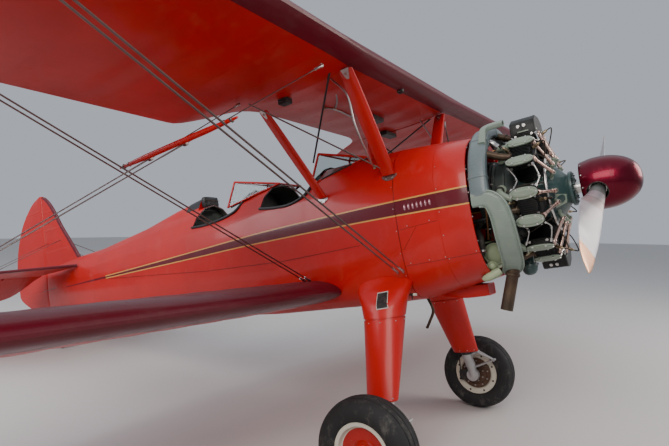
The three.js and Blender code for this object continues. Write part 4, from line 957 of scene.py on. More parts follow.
def oval_blocks(levels):
    """A pair of blocks of oval sections, each given by how far it is drawn in and its height."""
    return [loft([stadium(rocker_half[0] - inset, rocker_half[1] - inset, z, sign * rocker_aside)
                  for inset, z in levels]) for sign in (-1, 1)]


upright_fin = [(-0.350, 0.396), (-0.344, 0.414), (-0.315, 0.426), (-0.245, 0.426),
               (-0.207, 0.414), (-0.200, 0.396)]
barrel = join(disc(0.084, 0.012, 0.2143), disc(0.067, 0.152, 0.224),
              disc(0.074, 0.010, head_foot - 0.004),
              disc(0.088, 0.020, 0.378), disc(0.060, 0.022, 0.392),
              *oval_blocks([(0.004, 0.374), (0.0, 0.380), (0.0, 0.414), (0.003, 0.418)]),
              *[slab(upright_fin, y - 0.0014, y + 0.0014) for y in np.linspace(-0.039, 0.039, 7)],
              *[loft([stadium(0.083, 0.0385, z + lift, sign * 0.089) for lift in (0, 0.0028)])
                for z in np.linspace(0.386, 0.416, 4) for sign in (-1, 1)])

# The black box over two of the heads, with a lid and three moulded rims
box_side = [(0.112, 0.392), (0.121, 0.400), (0.121, 0.482), (0.114, 0.492), (0.058, 0.524),
            (0.046, 0.528)]
box_outline = box_side + [(-y, z) for y, z in reversed(box_side)]
box_levels = [[(-0.356, 0.94), (-0.352, 0.985), (-0.200, 0.985), (-0.196, 0.94)]]
box_levels += [[(at, 0.98), (at + 0.002, 1.0), (at + 0.008, 1.0), (at + 0.010, 0.98)]
               for at in (-0.350, -0.282, -0.212)]
tall_box = join(*[loft([[Vector((x, y * k, 0.45 + (z - 0.45) * k)) for y, z in box_outline]
                        for x, k in levels]) for levels in box_levels])

fins = grown(to_mesh("fin", disc(0.086, 0.0026, 0.0), place=Matrix()), repeat_tree, Count=fin_count,
             Step=(0, 0, (head_foot - fin_foot) / fin_count), Growth=0.0, Finish=black_enamel)
fins.transform(Matrix.Translation((0, 0, fin_foot)))
fin_shape = ([v.co.copy() for v in fins.vertices], [list(p.vertices) for p in fins.polygons])
for i in range(cylinder_count):
    parts = [barrel, fin_shape] + ([tall_box] if i in tall_boxes else [])
    mount(f"cylinder_{i + 1}", around(join(*parts), i), black_enamel, "cylinder_black",
          replaces=f"engine_cylinder_{i + 1}", sharp=35)

# Rocker covers
# Oval pressed covers on the fourteen rocker boxes, facing outwards, each on a flange with six
# small nuts. Grey-green enamel over aluminium, worn to metal at the edges.

cover_levels = [(0.001, 0.4175), (-0.001, 0.4190), (-0.001, 0.4265), (0.0005, 0.4280),
                (0.0115, 0.4285), (0.0135, 0.4320), (0.0165, 0.4335), (0.0250, 0.4338)]
mount("rocker_covers", all_around(*oval_blocks(cover_levels)), cover_paint, "engine_grey", sharp=40)
up = (0, 0, 1)
cover_nuts = spots_around([
    ((rocker_x + along, sign * rocker_aside + aside, 0.4282), up) for sign in (-1, 1)
    for along, aside in ((0.0745, 0), (-0.0745, 0), (0.039, 0.0258), (0.039, -0.0258),
                         (-0.039, 0.0258), (-0.039, -0.0258))])
foot_nuts = spots_around([((cylinder_plane + 0.0765 * c, 0.0765 * s, 0.226), up)
                          for c, s in turns(8, pi / 8)])
shaft_nuts = spots_around([
    ((rocker_x + along, sign * rocker_aside + face * 0.0335, 0.396), (0, face, 0))
    for sign in (-1, 1) for along in (0.052, -0.052) for face in (-1, 1)])
box_bolts = [spot for i, side in tall_boxes.items() for spot in spots_around(
    [((along, side * 0.120, 0.462), (0, side, 0)) for along in (-0.300, -0.262)], [i])]
heads("cover_nuts", cover_nuts + foot_nuts, 0.0064, 0.0056, bright_steel)
heads("shaft_nuts", shaft_nuts, 0.0095, 0.0075, bright_steel)
heads("box_bolts", box_bolts, 0.011, 0.007, bright_steel, sides=16)
case_studs = ring_of(14, 0.094, -0.050) + ring_of(28, 0.2115, -0.196, 0.1)
case_studs += ring_of(24, 0.276, -0.416) + ring_of(10, 0.060, -0.046)
heads("case_studs", case_studs, 0.0050, 0.0070, case_paint, "engine_grey")

# Pushrods and ignition
# Two bright pushrod tubes run to each head from guides in the nose case, with collars at both
# ends. A braided lead comes to each spark plug from a conduit ring round the case.

rod_top, rod_foot, guide_foot = (-0.200, 0.072, 0.405), (-0.132, 0.036, 0.215), (
    -0.160, 0.030, 0.160)
conduit_radius, conduit_x = 0.246, -0.176


def beside(at, way, spans):
    """Points along a way from one point."""
    return [at + way * h for h in spans]


def collared(start, end, radius, collars, sides=12):
    """A tube with wider collars at shares of its length."""
    pieces = [tube([start, end], radius, sides)]
    for share, wide, length in collars:
        step = (end - start).normalized() * length / 2
        pieces.append(tube(beside(start.lerp(end, share), step, (-1, -0.8, 0.8, 1)),
                           [wide * 0.9, wide, wide, wide * 0.9], sides))
    return join(*pieces)


rods, guides = [], []
for side in (1, -1):
    top, middle, foot = (Vector((x, side * y, z)) for x, y, z in (rod_top, rod_foot, guide_foot))
    rods.append(collared(middle, top, 0.0098, [(0.04, 0.0140, 0.026), (0.20, 0.0125, 0.010),
                                               (0.90, 0.0140, 0.022), (0.98, 0.0165, 0.010)]))
    guides.append(collared(foot, middle, 0.0125, [(0.95, 0.0165, 0.012), (0.1, 0.018, 0.012)]))
rod_steel = Finish("pushrod_steel", (0.58, 0.40, 0.34), 0.24, metallic=0.9, scale=3.0).done(
    0.35, 0.08, 0.15)
mount("pushrods", all_around(*rods), rod_steel, "bright_metal")
mount("pushrod_guides", all_around(*guides), cover_paint, "engine_grey")

plug_spots = [((-0.196, 0.024, 0.398), (0.86, 0.10, 0.50)),
              ((-0.342, 0.034, 0.404), (-0.6, 0.2, 0.78))]
plug_bodies, plug_nuts, lead_ends = [], [], []
for at, facing in plug_spots:
    at, facing = Vector(at), Vector(facing).normalized()
    plug_nuts.append(tube([at, at + facing * 0.012], 0.0125, 6))
    plug_bodies.append(tube(beside(at, facing, (0.010, 0.014, 0.040, 0.044, 0.052)),
                            [0.0085, 0.0095, 0.0095, 0.007, 0.005], 12))
    lead_ends.append(at + facing * 0.048)
front_end, rear_end = lead_ends
leads = [smooth_path([front_end, front_end + Vector((0.030, 0.002, 0.004)), (-0.142, 0.012, 0.350),
                      (-0.168, 0.004, 0.290), (conduit_x, 0.0, conduit_radius + 0.006)], 6),
         smooth_path([rear_end, rear_end + Vector((-0.014, 0.004, 0.020)), (-0.392, 0.066, 0.420),
                      (-0.386, 0.104, 0.360), (-0.300, 0.122, 0.318), (-0.212, 0.110, 0.262),
                      (conduit_x, 0.098, 0.226)], 6)]
conduit = smooth_path([at for at, _ in ring_of(28, conduit_radius, conduit_x)], 3, closed=True)
lead_braid = Finish("lead_braid", (0.030, 0.022, 0.016), 0.55, scale=4.0).done(
    0.4, 0.3, grain=0.0004)
brass = Finish("aged_brass", (0.30, 0.235, 0.15), 0.32, metallic=1.0, scale=4.0).done(
    0.4, 0.15, 0.2)
mount("ignition_leads", all_around(*[tube(path, 0.0042, 8) for path in leads]), lead_braid,
      "cylinder_black")
mount("ignition_conduit", tube(conduit, 0.0105, 12, closed=True), bright_steel, "bright_metal")
mount("spark_plugs", all_around(*plug_bodies, *plug_nuts), brass, "bright_metal", sharp=30)

# Drain lines
# Thin steel lines join the rocker boxes of neighbouring cylinders, one in front and one behind,
# and drain their oil. A hexagon union holds each end.

next_over = Matrix.Rotation(2 * pi / cylinder_count, 3, "X")
drain_lines, unions = [], []
for x, y, z in ((-0.204, -0.108, 0.404), (-0.352, -0.104, 0.402)):
    start, end = Vector((x, y, z)), next_over @ Vector((x, -y, z))
    sag = (start + end) / 2 * 0.90
    drain_lines.append(tube(smooth_path([start, start.lerp(sag, 0.55) * 0.985, sag,
                                         end.lerp(sag, 0.55) * 0.985, end], 5), 0.0045, 8))
    for at in (start, end):
        way = (sag - at).normalized()
        unions += [tube([at, at + way * 0.020], 0.0090, 6),
                   tube([sag - way * 0.010, sag], 0.0078, 6)]
mount("drain_lines", all_around(*drain_lines, *unions), bright_steel, "bright_metal", sharp=30)

# Intake pipes
# A curved pipe takes the mixture from the blower case up to the back of each head, bolted by a
# flange at each end, with a rubber sleeve above the lower one.

intake_path = smooth_path([(-0.430, 0.112, 0.262), (-0.434, 0.118, 0.312), (-0.420, 0.106, 0.372),
                           (-0.382, 0.078, 0.404), (-0.346, 0.060, 0.408)], 6)
intake_pieces = [tube(intake_path, 0.0215, 18)]
for k, wide, length in ((1, 0.033, 0.010), (len(intake_path) - 3, 0.034, 0.008)):
    step = (intake_path[k + 1] - intake_path[k]).normalized() * length
    intake_pieces.append(tube([intake_path[k], intake_path[k] + step], wide, 18))
mount("intake_pipes", all_around(*intake_pieces), cover_paint, "engine_grey")
hose_rubber = Finish("hose_rubber", (0.020, 0.017, 0.015), 0.62, scale=3.0).done(0.3, 0.4)
mount("intake_sleeves", all_around(tube(intake_path[5:10], 0.0255, 18)), hose_rubber,
      "cylinder_black")

# Exhaust collector
# A flat pressed-steel ring duct behind the heads. On the starboard side it swings forward in a
# broad hook with a riveted seam and ends in the tail pipe; a small duct stands on its top.

# Degrees round from the top to starboard, x, half width, radius of the middle, half depth
collector_ring = 0.487
hook_path = [
    (89.8, -0.566, 0.046, 0.487, 0.036), (90.2, -0.500, 0.046, 0.487, 0.036),
    (92, -0.455, 0.050, 0.487, 0.036), (97, -0.425, 0.058, 0.487, 0.036),
    (104, -0.412, 0.060, 0.487, 0.036), (113, -0.411, 0.062, 0.487, 0.036),
    (127, -0.420, 0.063, 0.487, 0.036), (142, -0.437, 0.060, 0.487, 0.036),
    (151, -0.462, 0.056, 0.487, 0.036), (160, -0.508, 0.048, 0.487, 0.034),
]
top_duct_path = [
    (47, -0.480, 0.022, 0.520, 0.016), (36, -0.474, 0.022, 0.548, 0.018),
    (31.5, -0.456, 0.022, 0.550, 0.018), (30, -0.420, 0.022, 0.550, 0.018),
    (30.5, -0.352, 0.022, 0.550, 0.018),
]


def finer(path, per_span=5):
    """More stations of a duct, by a curve through those given."""
    firsts = smooth_path([(math.radians(r[0]) * collector_ring, r[1], 0) for r in path], per_span)
    lasts = smooth_path([r[2:] for r in path], per_span)
    return [(a.x, a.y, *b) for a, b in zip(firsts, lasts)]


def duct_point(stations, i, across, out):
    around_ring, x, half, radius, thick = stations[i]
    before, after = stations[max(i - 1, 0)], stations[min(i + 1, len(stations) - 1)]
    along = Vector((after[1] - before[1], after[0] - before[0])).normalized()
    angle = (around_ring + along.x * half * across) / collector_ring
    r = radius + thick * out
    return Vector((x - along.y * half * across, -r * sin(angle), r * cos(angle)))


def duct(stations, power=4.5, wall=0.0):
    """A duct of rounded flat section; with a wall it is open at its last end."""
    def ring(i, inset=0.0):
        half, thick = stations[i][2], stations[i][4]
        return [duct_point(stations, i, bent(c, 2 / power) * (1 - inset / half),
                           bent(s, 2 / power) * (1 - inset / thick)) for c, s in turns(28)]
    rings = [ring(i) for i in range(len(stations))]
    if wall:
        rings += [ring(i, wall) for i in range(len(stations) - 1, len(stations) - 6, -1)]
    return loft(rings)


def band_station(arc, wider=0.0):
    return arc, -0.515, 0.056 + wider, collector_ring, 0.036 + wider


band_arcs = [math.radians(-158 + 246 * k / 72) * collector_ring for k in range(73)]
hook = finer(hook_path)
seams = [tube([duct_point(hook, i, across * 1.03, 0.72) for i in range(3, len(hook) - 1)],
              0.0065, 8) for across in (0.97, -0.97)]
joint_rings = [duct([band_station(band_arcs[k] + along, wider) for along, wider in (
    (-0.007, 0.001), (-0.004, 0.004), (0.004, 0.004), (0.007, 0.001))])
    for k in (6, 17, 27, 37, 48, 58, 68)]
stub_path = smooth_path([(-0.322, -0.012, 0.400), (-0.350, -0.012, 0.404), (-0.400, -0.008, 0.424),
                         (-0.450, 0.0, 0.452), (-0.480, 0.0, 0.466)], 4)
stubs = [tube(stub_path, 0.0225, 16), tube(stub_path[1:3], 0.033, 16),
         tube(stub_path[9:11], 0.027, 16)]
# The collector's grey is its own; the band's bluish tone is a painted reflection.
band_sheen_paint = enamel("collector_grey_painted_sheen", (0.125, 0.165, 0.175), 0.33)
hook_paint = enamel("collector_green", (0.20, 0.255, 0.215), 0.36)
mount("collector_band", [duct([band_station(arc) for arc in band_arcs]), *joint_rings],
      band_sheen_paint, "engine_grey", replaces="exhaust_collector")
mount("collector_hook", [duct(hook), *seams], hook_paint, "engine_grey")
mount("collector_duct", duct(finer(top_duct_path), wall=0.003), hook_paint, "engine_grey")
hook_rivets = []
for i in range(5, len(hook) - 3):
    for across in (0.80, -0.80):
        low, high = duct_point(hook, i, across, 0.5), duct_point(hook, i, across, 1.0)
        hook_rivets.append((high, high - low))
heads("hook_rivets", hook_rivets, 0.0032, 0.0022, hook_paint, "engine_grey", sides=10)

pipe_from, pipe_to = Vector((-0.462, -0.218, -0.440)), Vector((-0.550, -0.250, -0.707))
step = (pipe_to - pipe_from).normalized()
pipe = tube([pipe_from.lerp(pipe_to, t) for t in (0, 0.2, 0.24, 0.6, 1)]
            + [pipe_to - step * 0.001, pipe_to - step * 0.12],
            [0.041, 0.041, 0.038, 0.0385, 0.039, 0.0362, 0.0355], 32)
clamp = tube([pipe_from.lerp(pipe_to, t) for t in (0.15, 0.16, 0.21, 0.22)],
             [0.043, 0.0455, 0.0455, 0.043], 32)
burnt = Finish("burnt_steel", (0.050, 0.038, 0.026), 0.42, metallic=0.6, scale=3.0)
streaks = burnt.node("ShaderNodeTexNoise")
burnt.feed([streaks.inputs[k] for k in ("Scale", "Vector")], 11.0,
           burnt.node("ShaderNodeTexCoord").outputs["Object"])
burnt.tint(burnt.math("SUBTRACT", burnt.math("MULTIPLY", streaks.outputs[0], 2.2), 0.85),
           (0.13, 0.095, 0.055), 0.8)
burnt = burnt.done(0.5, 0.22, 0.1, 0.00012, (0.22, 0.17, 0.11))
mount("tail_pipe", [pipe, clamp], burnt, "burnt_steel")
mount("exhaust_stubs", all_around(*stubs), burnt, "burnt_steel")

# Engine mount
# Eight steel tubes run from a hoop behind the engine to the plate at the firewall, with welded
# sockets and bolts. Hoses, an air box and small pale covers fill the space behind the collector.

mount_face, mount_radius = -0.500, 0.276
hoop = tube([at for at, _ in ring_of(64, mount_radius, mount_face - 0.0135)], 0.0125, 12,
            closed=True)
mount_tubes, mount_bolts = [hoop], []
for c, s in turns(8, pi / 8):
    start = Vector((mount_face - 0.012, mount_radius * s, mount_radius * c))
    end = Vector((firewall + 0.014, 0.340 * s, 0.380 * c))
    mount_tubes.append(collared(start, end, 0.0145, [(0.03, 0.020, 0.040), (0.985, 0.024, 0.020)]))
    mount_bolts += [(start + Vector((0.012, 0, 0)), (1, 0, 0))]
    mount_bolts += [(end + Vector((0.001, 0.03 * cos(b), 0.03 * sin(b))), (1, 0, 0))
                    for b in (0.5, 2.6, 4.7)]
mount("engine_mount_tubes", mount_tubes, black_enamel, "cylinder_black", replaces="engine_mount")
mount("firewall_plate", loft([fuselage_ring(firewall + x, -0.0125) for x in (0.0005, 0.013)]),
      steel, "bright_metal")
heads("mount_bolts", mount_bolts, 0.009, 0.008, bright_steel)

hoses, clips = [], []
for points, radius in [
        ([(-0.645, -0.10, 0.05), (-0.70, -0.22, 0.02), (-0.74, -0.30, -0.08),
          (-0.82, -0.30, -0.22), (-1.10, -0.24, -0.30)], 0.026),
        ([(-0.640, -0.05, -0.08), (-0.66, -0.20, -0.16), (-0.62, -0.29, -0.24),
          (-0.66, -0.27, -0.36), (-0.90, -0.16, -0.40), (-1.11, -0.12, -0.36)], 0.021),
        ([(-0.600, 0.05, 0.14), (-0.66, 0.20, 0.16), (-0.82, 0.26, 0.10), (-1.11, 0.24, 0.06)],
         0.018),
        ([(-0.640, 0.0, -0.10), (-0.70, 0.10, -0.24), (-0.86, 0.14, -0.32), (-1.11, 0.12, -0.30)],
         0.022)]:
    path = smooth_path(points, 6)
    hoses.append(tube(path, radius, 14))
    for k in (2, len(path) // 2, len(path) - 4):
        step = (path[k + 1] - path[k]).normalized() * 0.006
        clips.append(tube(beside(path[k], step, (-1, 1)), radius + 0.003, 14))
mount("engine_hoses", hoses, hose_rubber, "cylinder_black")
mount("hose_clips", clips, bright_steel, "bright_metal")


def dome(centre, facing, radius, depth):
    """A turned cover with a flange and a rounded face."""
    heights, shares = zip((-depth, 0.94), (-0.012, 0.94), (-0.012, 1.12), (-0.004, 1.12),
                          (-0.004, 0.96), (0.004, 0.90), (0.014, 0.70), (0.019, 0.40),
                          (0.020, 0.10))
    return tube(beside(Vector(centre), Vector(facing).normalized(), heights),
                [radius * k for k in shares], 28)


cover_at, facing = Vector((-0.590, -0.150, -0.340)), Vector((0.50, -0.86, 0.05)).normalized()
across = facing.cross(Vector((0, 0, 1))).normalized()
cover_screws = [(cover_at + (across * c + facing.cross(across) * s) * 0.0685 - facing * 0.004,
                 facing) for c, s in turns(10)]
slide = tube([(-0.545, -0.235, -0.452), (-0.570, -0.240, -0.464), (-0.625, -0.246, -0.484),
              (-0.655, -0.248, -0.492), (-0.668, -0.249, -0.495)],
             [0.024, 0.029, 0.028, 0.021, 0.010], 20)
mount("accessory_covers", [
    rounded_box((-0.790, -0.105, -0.440), (-0.590, 0.105, -0.250), 0.03, 5), slide,
    dome(cover_at, facing, 0.066, 0.09), dome((-0.560, 0.060, -0.170), (1, 0.1, -0.2), 0.042, 0.06),
    dome((-0.600, -0.215, -0.420), (0.35, -0.90, -0.2), 0.030, 0.07)],
      enamel("pale_green", (0.34, 0.41, 0.25), 0.45), "engine_grey")
heads("accessory_screws", cover_screws, 0.0045, 0.0030, bright_steel)
elbow = smooth_path([(-0.430, -0.220, 0.345), (-0.452, -0.232, 0.372), (-0.486, -0.222, 0.388),
                     (-0.530, -0.180, 0.372)], 6)
mount("oil_elbow", [tube(elbow, 0.019, 18),
                    tube([(-0.436, -0.222, 0.350), (-0.428, -0.219, 0.341)], 0.025, 6),
                    tube([(-0.478, -0.226, 0.386), (-0.490, -0.221, 0.388)], 0.024, 18)],
      bright_steel, "bright_metal")
copper = Finish("copper_pipe", (0.50, 0.23, 0.11), 0.32, metallic=1.0, scale=4.0).done(0.45, 0.2)
pipe_runs = [
    [(-0.640, -0.08, 0.10), (-0.60, -0.24, 0.16), (-0.55, -0.30, 0.06), (-0.56, -0.28, -0.10),
     (-0.60, -0.20, -0.24)],
    [(-0.640, 0.02, 0.12), (-0.58, -0.12, 0.24), (-0.50, -0.24, 0.30), (-0.44, -0.22, 0.33)],
    [(-0.420, -0.08, -0.46), (-0.46, -0.14, -0.40), (-0.52, -0.18, -0.30), (-0.62, -0.10, -0.20)],
]
mount("oil_pipes", [tube(smooth_path(p, 6), 0.0065) for p in pipe_runs], copper, "bright_metal")

# Air scoop
# A folded sheet duct under the nose with an open, square mouth in front. The edge of the mouth is
# turned over a wire, and a row of rivets holds the scoop to the belly.

scoop_half, sheet = 0.075, 0.003
# x, height of the top and of the foot
scoop_rows = [(-0.700, -0.537, -0.615), (-0.730, -0.536, -0.618), (-0.790, -0.531, -0.619),
              (-0.860, -0.530, -0.619), (-0.910, -0.530, -0.613), (-0.960, -0.534, -0.606),
              (-1.000, -0.538, -0.597), (-1.040, -0.545, -0.586), (-1.056, -0.552, -0.578)]


def scoop_ring(x, top, foot, inset=0.0):
    half, top, foot = scoop_half - inset, top - inset, foot + inset
    corners = [(half, top), (-half, top), (-half, foot), (half, foot)]
    middle = (top + foot) / 2
    ring = []
    for k, (y, z) in enumerate(corners):
        for ty, tz in (corners[k - 1], corners[(k + 1) % 4]):
            step = Vector((0, ty - y, tz - z)).normalized() * 0.010
            ring.append(Vector((x, y + step.y, z + step.z)))
        ring.insert(-1, Vector((x, y * 0.985, z + copysign(0.003, middle - z))))
    return ring


outside = [scoop_ring(*row) for row in scoop_rows]
inside = [scoop_ring(*row, inset=sheet) for row in scoop_rows[3::-1]]
lip_wire = tube(scoop_ring(-0.7005, -0.538, -0.614, 0.001), 0.0045, closed=True)
mount("scoop_sheet", [loft(outside + inside), lip_wire], plain_red, "red_paint",
      replaces="air_scoop", sharp=28)

# Spinner
# A spun aluminium shell in deep maroon lacquer over the hub, on a backplate, with a round hole
# for each blade. A ring of screws holds it.

blade_turn = Matrix.Rotation(math.radians(-66.9), 4, "X")
blade_x, blade_hole = 0.087, 0.060
shell_profile = [(0.0, 0.1495), (0.003, 0.1515), (0.020, 0.1555), (0.045, 0.1610), (0.070, 0.1652),
                 (0.090, 0.1659),
                 *[(0.110 + 0.2195 * sin(a), 0.1660 * max(0.0, cos(a)) ** 0.85)
                   for a in np.linspace(0, pi / 2, 26)[:-1]], (0.3295, 0.004)]
inner = [(x - 0.004 if x > 0.1 else max(x, 0.0045), r - 0.0035) for x, r in shell_profile[2:-2]]
shell = turned(shell_profile + [(0.3250, 0.002)] + inner[::-1] + [(0.0045, 0.045), (0.0, 0.045)],
               96)
bore = tube([(blade_x, 0, -0.4), (blade_x, 0, 0.4)], blade_hole, 48)
lacquer = Finish("maroon_lacquer", (0.115, 0.0022, 0.014), 0.26, metallic=0.9, coat=0.18).done(
    0.10, 0.03, grain=0.00001)
mount("spinner_shell", carved(to_mesh("shell", shell),
                              [to_mesh("bore", bore, place=stance @ blade_turn)]),
      lacquer, "maroon_paint", "propeller", "propeller_spinner", 40)
hole_rims = []
for sign in (-1, 1):
    path = []
    for c, s in turns(56):
        x, aside = blade_x + blade_hole * c, blade_hole * s
        radius = np.interp(x, *zip(*shell_profile))
        path.append(blade_turn @ Vector((x, aside, sign * math.sqrt(radius ** 2 - aside ** 2))))
    hole_rims.append(tube(path, 0.0024, 8, closed=True))
mount("spinner_hole_rims", hole_rims, hose_rubber, "maroon_paint", "propeller")
spinner_screws = ring_of(12, 0.1532, 0.012, 0.15, None)
for a in (0.3, 0.5, 1.9, 2.1, 3.4, 3.6, 5.0, 5.2):
    spinner_screws += ring_of(1, 0.1595, 0.165, a, None, 0.25)
heads("spinner_screws", spinner_screws, 0.0040, 0.0016, bright_steel, sides=12, body="propeller")

# Propeller
# Two forged aluminium blades with round shanks in a steel hub on the engine's splined shaft.
# Their faces are polished by use, dull at the shank, and one is the other turned half round.

# Distance from the hub, reach ahead of and behind the blade's axis, thickness, pitch in degrees
blade_table = np.array([
    (0.040, 0.044, 0.044, 0.086, 62), (0.120, 0.0445, 0.0445, 0.086, 62),
    (0.170, 0.044, 0.047, 0.078, 61), (0.210, 0.0445, 0.051, 0.062, 57),
    (0.260, 0.045, 0.056, 0.047, 52), (0.340, 0.0445, 0.073, 0.037, 47),
    (0.420, 0.045, 0.091, 0.030, 42), (0.520, 0.047, 0.102, 0.026, 37),
    (0.650, 0.049, 0.109, 0.022, 32), (0.780, 0.047, 0.108, 0.018, 28.5),
    (0.900, 0.043, 0.103, 0.015, 25), (1.000, 0.037, 0.095, 0.0135, 23),
    (1.080, 0.030, 0.085, 0.012, 21), (1.140, 0.025, 0.073, 0.0105, 20),
    (1.180, 0.020, 0.058, 0.009, 19), (1.210, 0.014, 0.038, 0.008, 18.5),
    (1.228, 0.007, 0.019, 0.0065, 18), (1.2395, 0.002, 0.005, 0.004, 18),
])


def blade_ring(along, side):
    ahead, behind, thick, pitch = looked_up(blade_table, along)
    turn, shank = math.radians(pitch), min(1.0, max(0.0, (0.26 - along) / 0.11))
    ring = []
    for c, s in turns(36):
        across = (ahead - behind) / 2 + (ahead + behind) / 2 * c
        bulge = shank + (1 - shank) * (1.1 + 0.315 * c if s > 0 else 0.55)
        depth = thick / 2 * s * min(1.0, bulge)
        ring.append(Vector((blade_x + across * sin(turn) + depth * cos(turn),
                            -side * (across * cos(turn) - depth * sin(turn)), side * along)))
    return ring


def blade_place(point):
    return point.yz.length, 0.0


polished = Finish("polished_blade", (0.60, 0.59, 0.61), 0.27, metallic=0.85, scale=0.5)
reach, _ = polished.place()
polished.tint(polished.math("LESS_THAN", reach, 0.235), (0.30, 0.33, 0.31))
polished.tint(polished.math("GREATER_THAN", reach, 1.05), (0.80, 0.36, 0.12), 0.8)
polished.tint(polished.math("COMPARE", reach, 0.400, 0.070), (0.42, 0.30, 0.24), 0.35)
polished.tint(polished.math("COMPARE", reach, 0.345, 0.012), (0.30, 0.24, 0.20), 0.35)
polished = polished.done(0.05, 0.06, 0.03, 0.0000005, (0.32, 0.29, 0.27))
stations = sorted({*np.linspace(0.04, 1.18, 60), *blade_table[-4:, 0]})
mount("propeller_blade_pair", [loft([blade_ring(along, side) for along in stations])
                               for side in (1, -1)],
      polished, "bright_metal", "propeller", "propeller_blades", 45, blade_place,
      stance @ blade_turn)
hub_profile = [(-0.0495, 0.010), (-0.0495, 0.037), (0.004, 0.037), (0.007, 0.060), (0.030, 0.060),
               (0.034, 0.070), (0.140, 0.070), (0.150, 0.050), (0.150, 0.010)]
clamp = stack([(0.055, 0.050), (0.060, 0.056), (0.096, 0.056), (0.100, 0.050)], 32, blade_x)
clamp = join(clamp, around(clamp, 1, 2))
clamp = [blade_turn @ Vector(p) for p in clamp[0]], clamp[1]
mount("propeller_hub", [turned(hub_profile), clamp], bright_steel, "bright_metal", "propeller")

# Struts
# Streamlined steel tubes: N-shaped struts between the wings near their tips, and two pairs over
# the fuselage. Forged forks with bolts hold their ends. The rear ones lean aft to the rear spar.

front_spar, rear_spar = spars = (0.150, 0.905)
strut_top_y, strut_foot_y = 3.300, 3.080


def chord_point(front, incidence, rise, back, y):
    """A point on a wing's chord line, a distance behind its nose."""
    climb = max(abs(y) - rise, 0) * math.tan(dihedral)
    return Vector((front.x - back * cos(incidence), y, front.z - back * sin(incidence) + climb))


def upper_point(back, y):
    return chord_point(upper_front, upper_incidence, centre_half, back, y)


def lower_point(back, y):
    return chord_point(lower_front, lower_incidence, 0, back, y)


def clipped(start, end, low, high):
    """The part of a line between two heights."""
    share = [(z - start.z) / (end.z - start.z) for z in (low, high)]
    return start.lerp(end, max(0.0, share[0])), start.lerp(end, min(1.0, share[1]))


def streamlined(start, end, width, thickness, waist):
    """A strut of teardrop section between two points, drawn in a little at its ends."""
    rings = []
    for t in np.linspace(0, 1, 9):
        at, slim = start.lerp(end, t), 1 - waist * abs(2 * t - 1) ** 3
        ring = []
        for k in range(24):
            share, side = abs(1 - k / 12), 1 if k <= 12 else -1
            s = (1 - cos(pi * share)) / 2
            half = section_height(s, width * slim, thickness * slim)[1]
            ring.append(at + Vector((width * slim * (0.5 - s), side * half, 0)))
        rings.append(ring)
    return loft(rings)


fork_outline = [(-0.45, 0.0), (0.45, 0.0), (0.30, 0.55), (0.16, 0.92), (0.0, 1.0),
                (-0.16, 0.92), (-0.30, 0.55)]
strut_forks, strut_bolts = [], []


def add_fork(at, towards, width, thickness, length=0.070):
    """A forged fork with a bolt through it, at the end of a strut."""
    way = (towards - at).normalized()
    for side in (-1, 1):
        off = Vector((0, side * (thickness / 2 + 0.002), 0))
        strut_forks.append(loft([[at + off + Vector((width * u, lift, 0)) + way * length * v
                                  for u, v in fork_outline] for lift in (-0.0025, 0.0025)]))
        strut_bolts.append((at + off * 1.15 + way * length * 0.45, (0, side, 0)))


for word, side in both:
    tops = [upper_point(back, side * strut_top_y) for back in spars]
    feet = [lower_point(back, side * strut_foot_y) for back in spars]
    legs = []
    for foot, top, width, thickness in ((0, 0, 0.105, 0.036), (1, 1, 0.090, 0.032),
                                        (1, 0, 0.070, 0.028)):
        low, high = clipped(feet[foot], tops[top], feet[foot].z + 0.098, tops[top].z - 0.085)
        legs.append(streamlined(low, high, width, thickness, 0.25))
        for at, towards in ((low, high), (high, low)):
            add_fork(at, towards, width * 0.62, thickness * 0.8)
    mount(f"interplane_strut_{word}_tubes", legs, plain_red, "red_paint",
          replaces=f"interplane_strut_{word}")
    for end, (x, y, z), back, width, thickness in (
            ("front", (-1.157, 0.345, 0.250), front_spar, 0.112, 0.044),
            ("rear", (-1.735, 0.370, 0.250), rear_spar, 0.084, 0.036)):
        foot, top = Vector((x, side * y, z)), upper_point(back, side * 0.845)
        line = [foot.lerp(top, k / 200) for k in range(200)]
        share = next(k for k, p in enumerate(line) if abs(p.y) > abs(side_point(p.x, p.z).y)) / 200
        low, high = foot.lerp(top, share + 0.004), clipped(foot, top, 0, top.z - 0.082)[1]
        mount(f"cabane_{end}_tube_{word}", streamlined(low, high, width, thickness, 0.12),
              plain_red, "red_paint", replaces=f"cabane_{end}_strut_{word}")
        add_fork(high, low, width * 0.6, thickness * 0.8)
        # A small silver bracket on the skin carries the foot of the strut.
        facing, wide = side_facing(low.x, low.z, side), width * 0.55
        pad = [side_point(low.x + wide * u, low.z - 0.040 * v, side) for u, v in (
            (1, 0), (0.9, 0.5), (0.3, 1), (-0.3, 1), (-0.9, 0.5), (-1, 0))]
        strut_forks.append(loft([[p + facing * h for p in pad] for h in (-0.002, 0.004)]))
        strut_bolts += [(side_point(low.x + wide * u, low.z - 0.022, side) + facing * 0.004, facing)
                        for u in (-0.45, 0.45)]
mount("strut_forks", strut_forks, steel, "bright_metal", sharp=25)
heads("strut_bolts", strut_bolts, 0.0085, 0.0065, bright_steel)

# Bracing
# Doubled flat steel wires cross between the wings on each side, and a tapered red bar ties them
# together where they meet. Every wire ends in a threaded fork on a fitting, with a locknut.

bar_y = 1.930
wire_gap, wire_half, wire_thick, thread = 0.044, 0.0072, 0.0030, 0.0042
flying_feet = [(-1.160, 0.405, -0.385), (-1.955, 0.408, -0.350)]
landing_tops, landing_passes = (0.190, 0.915), (0.42, 0.78)


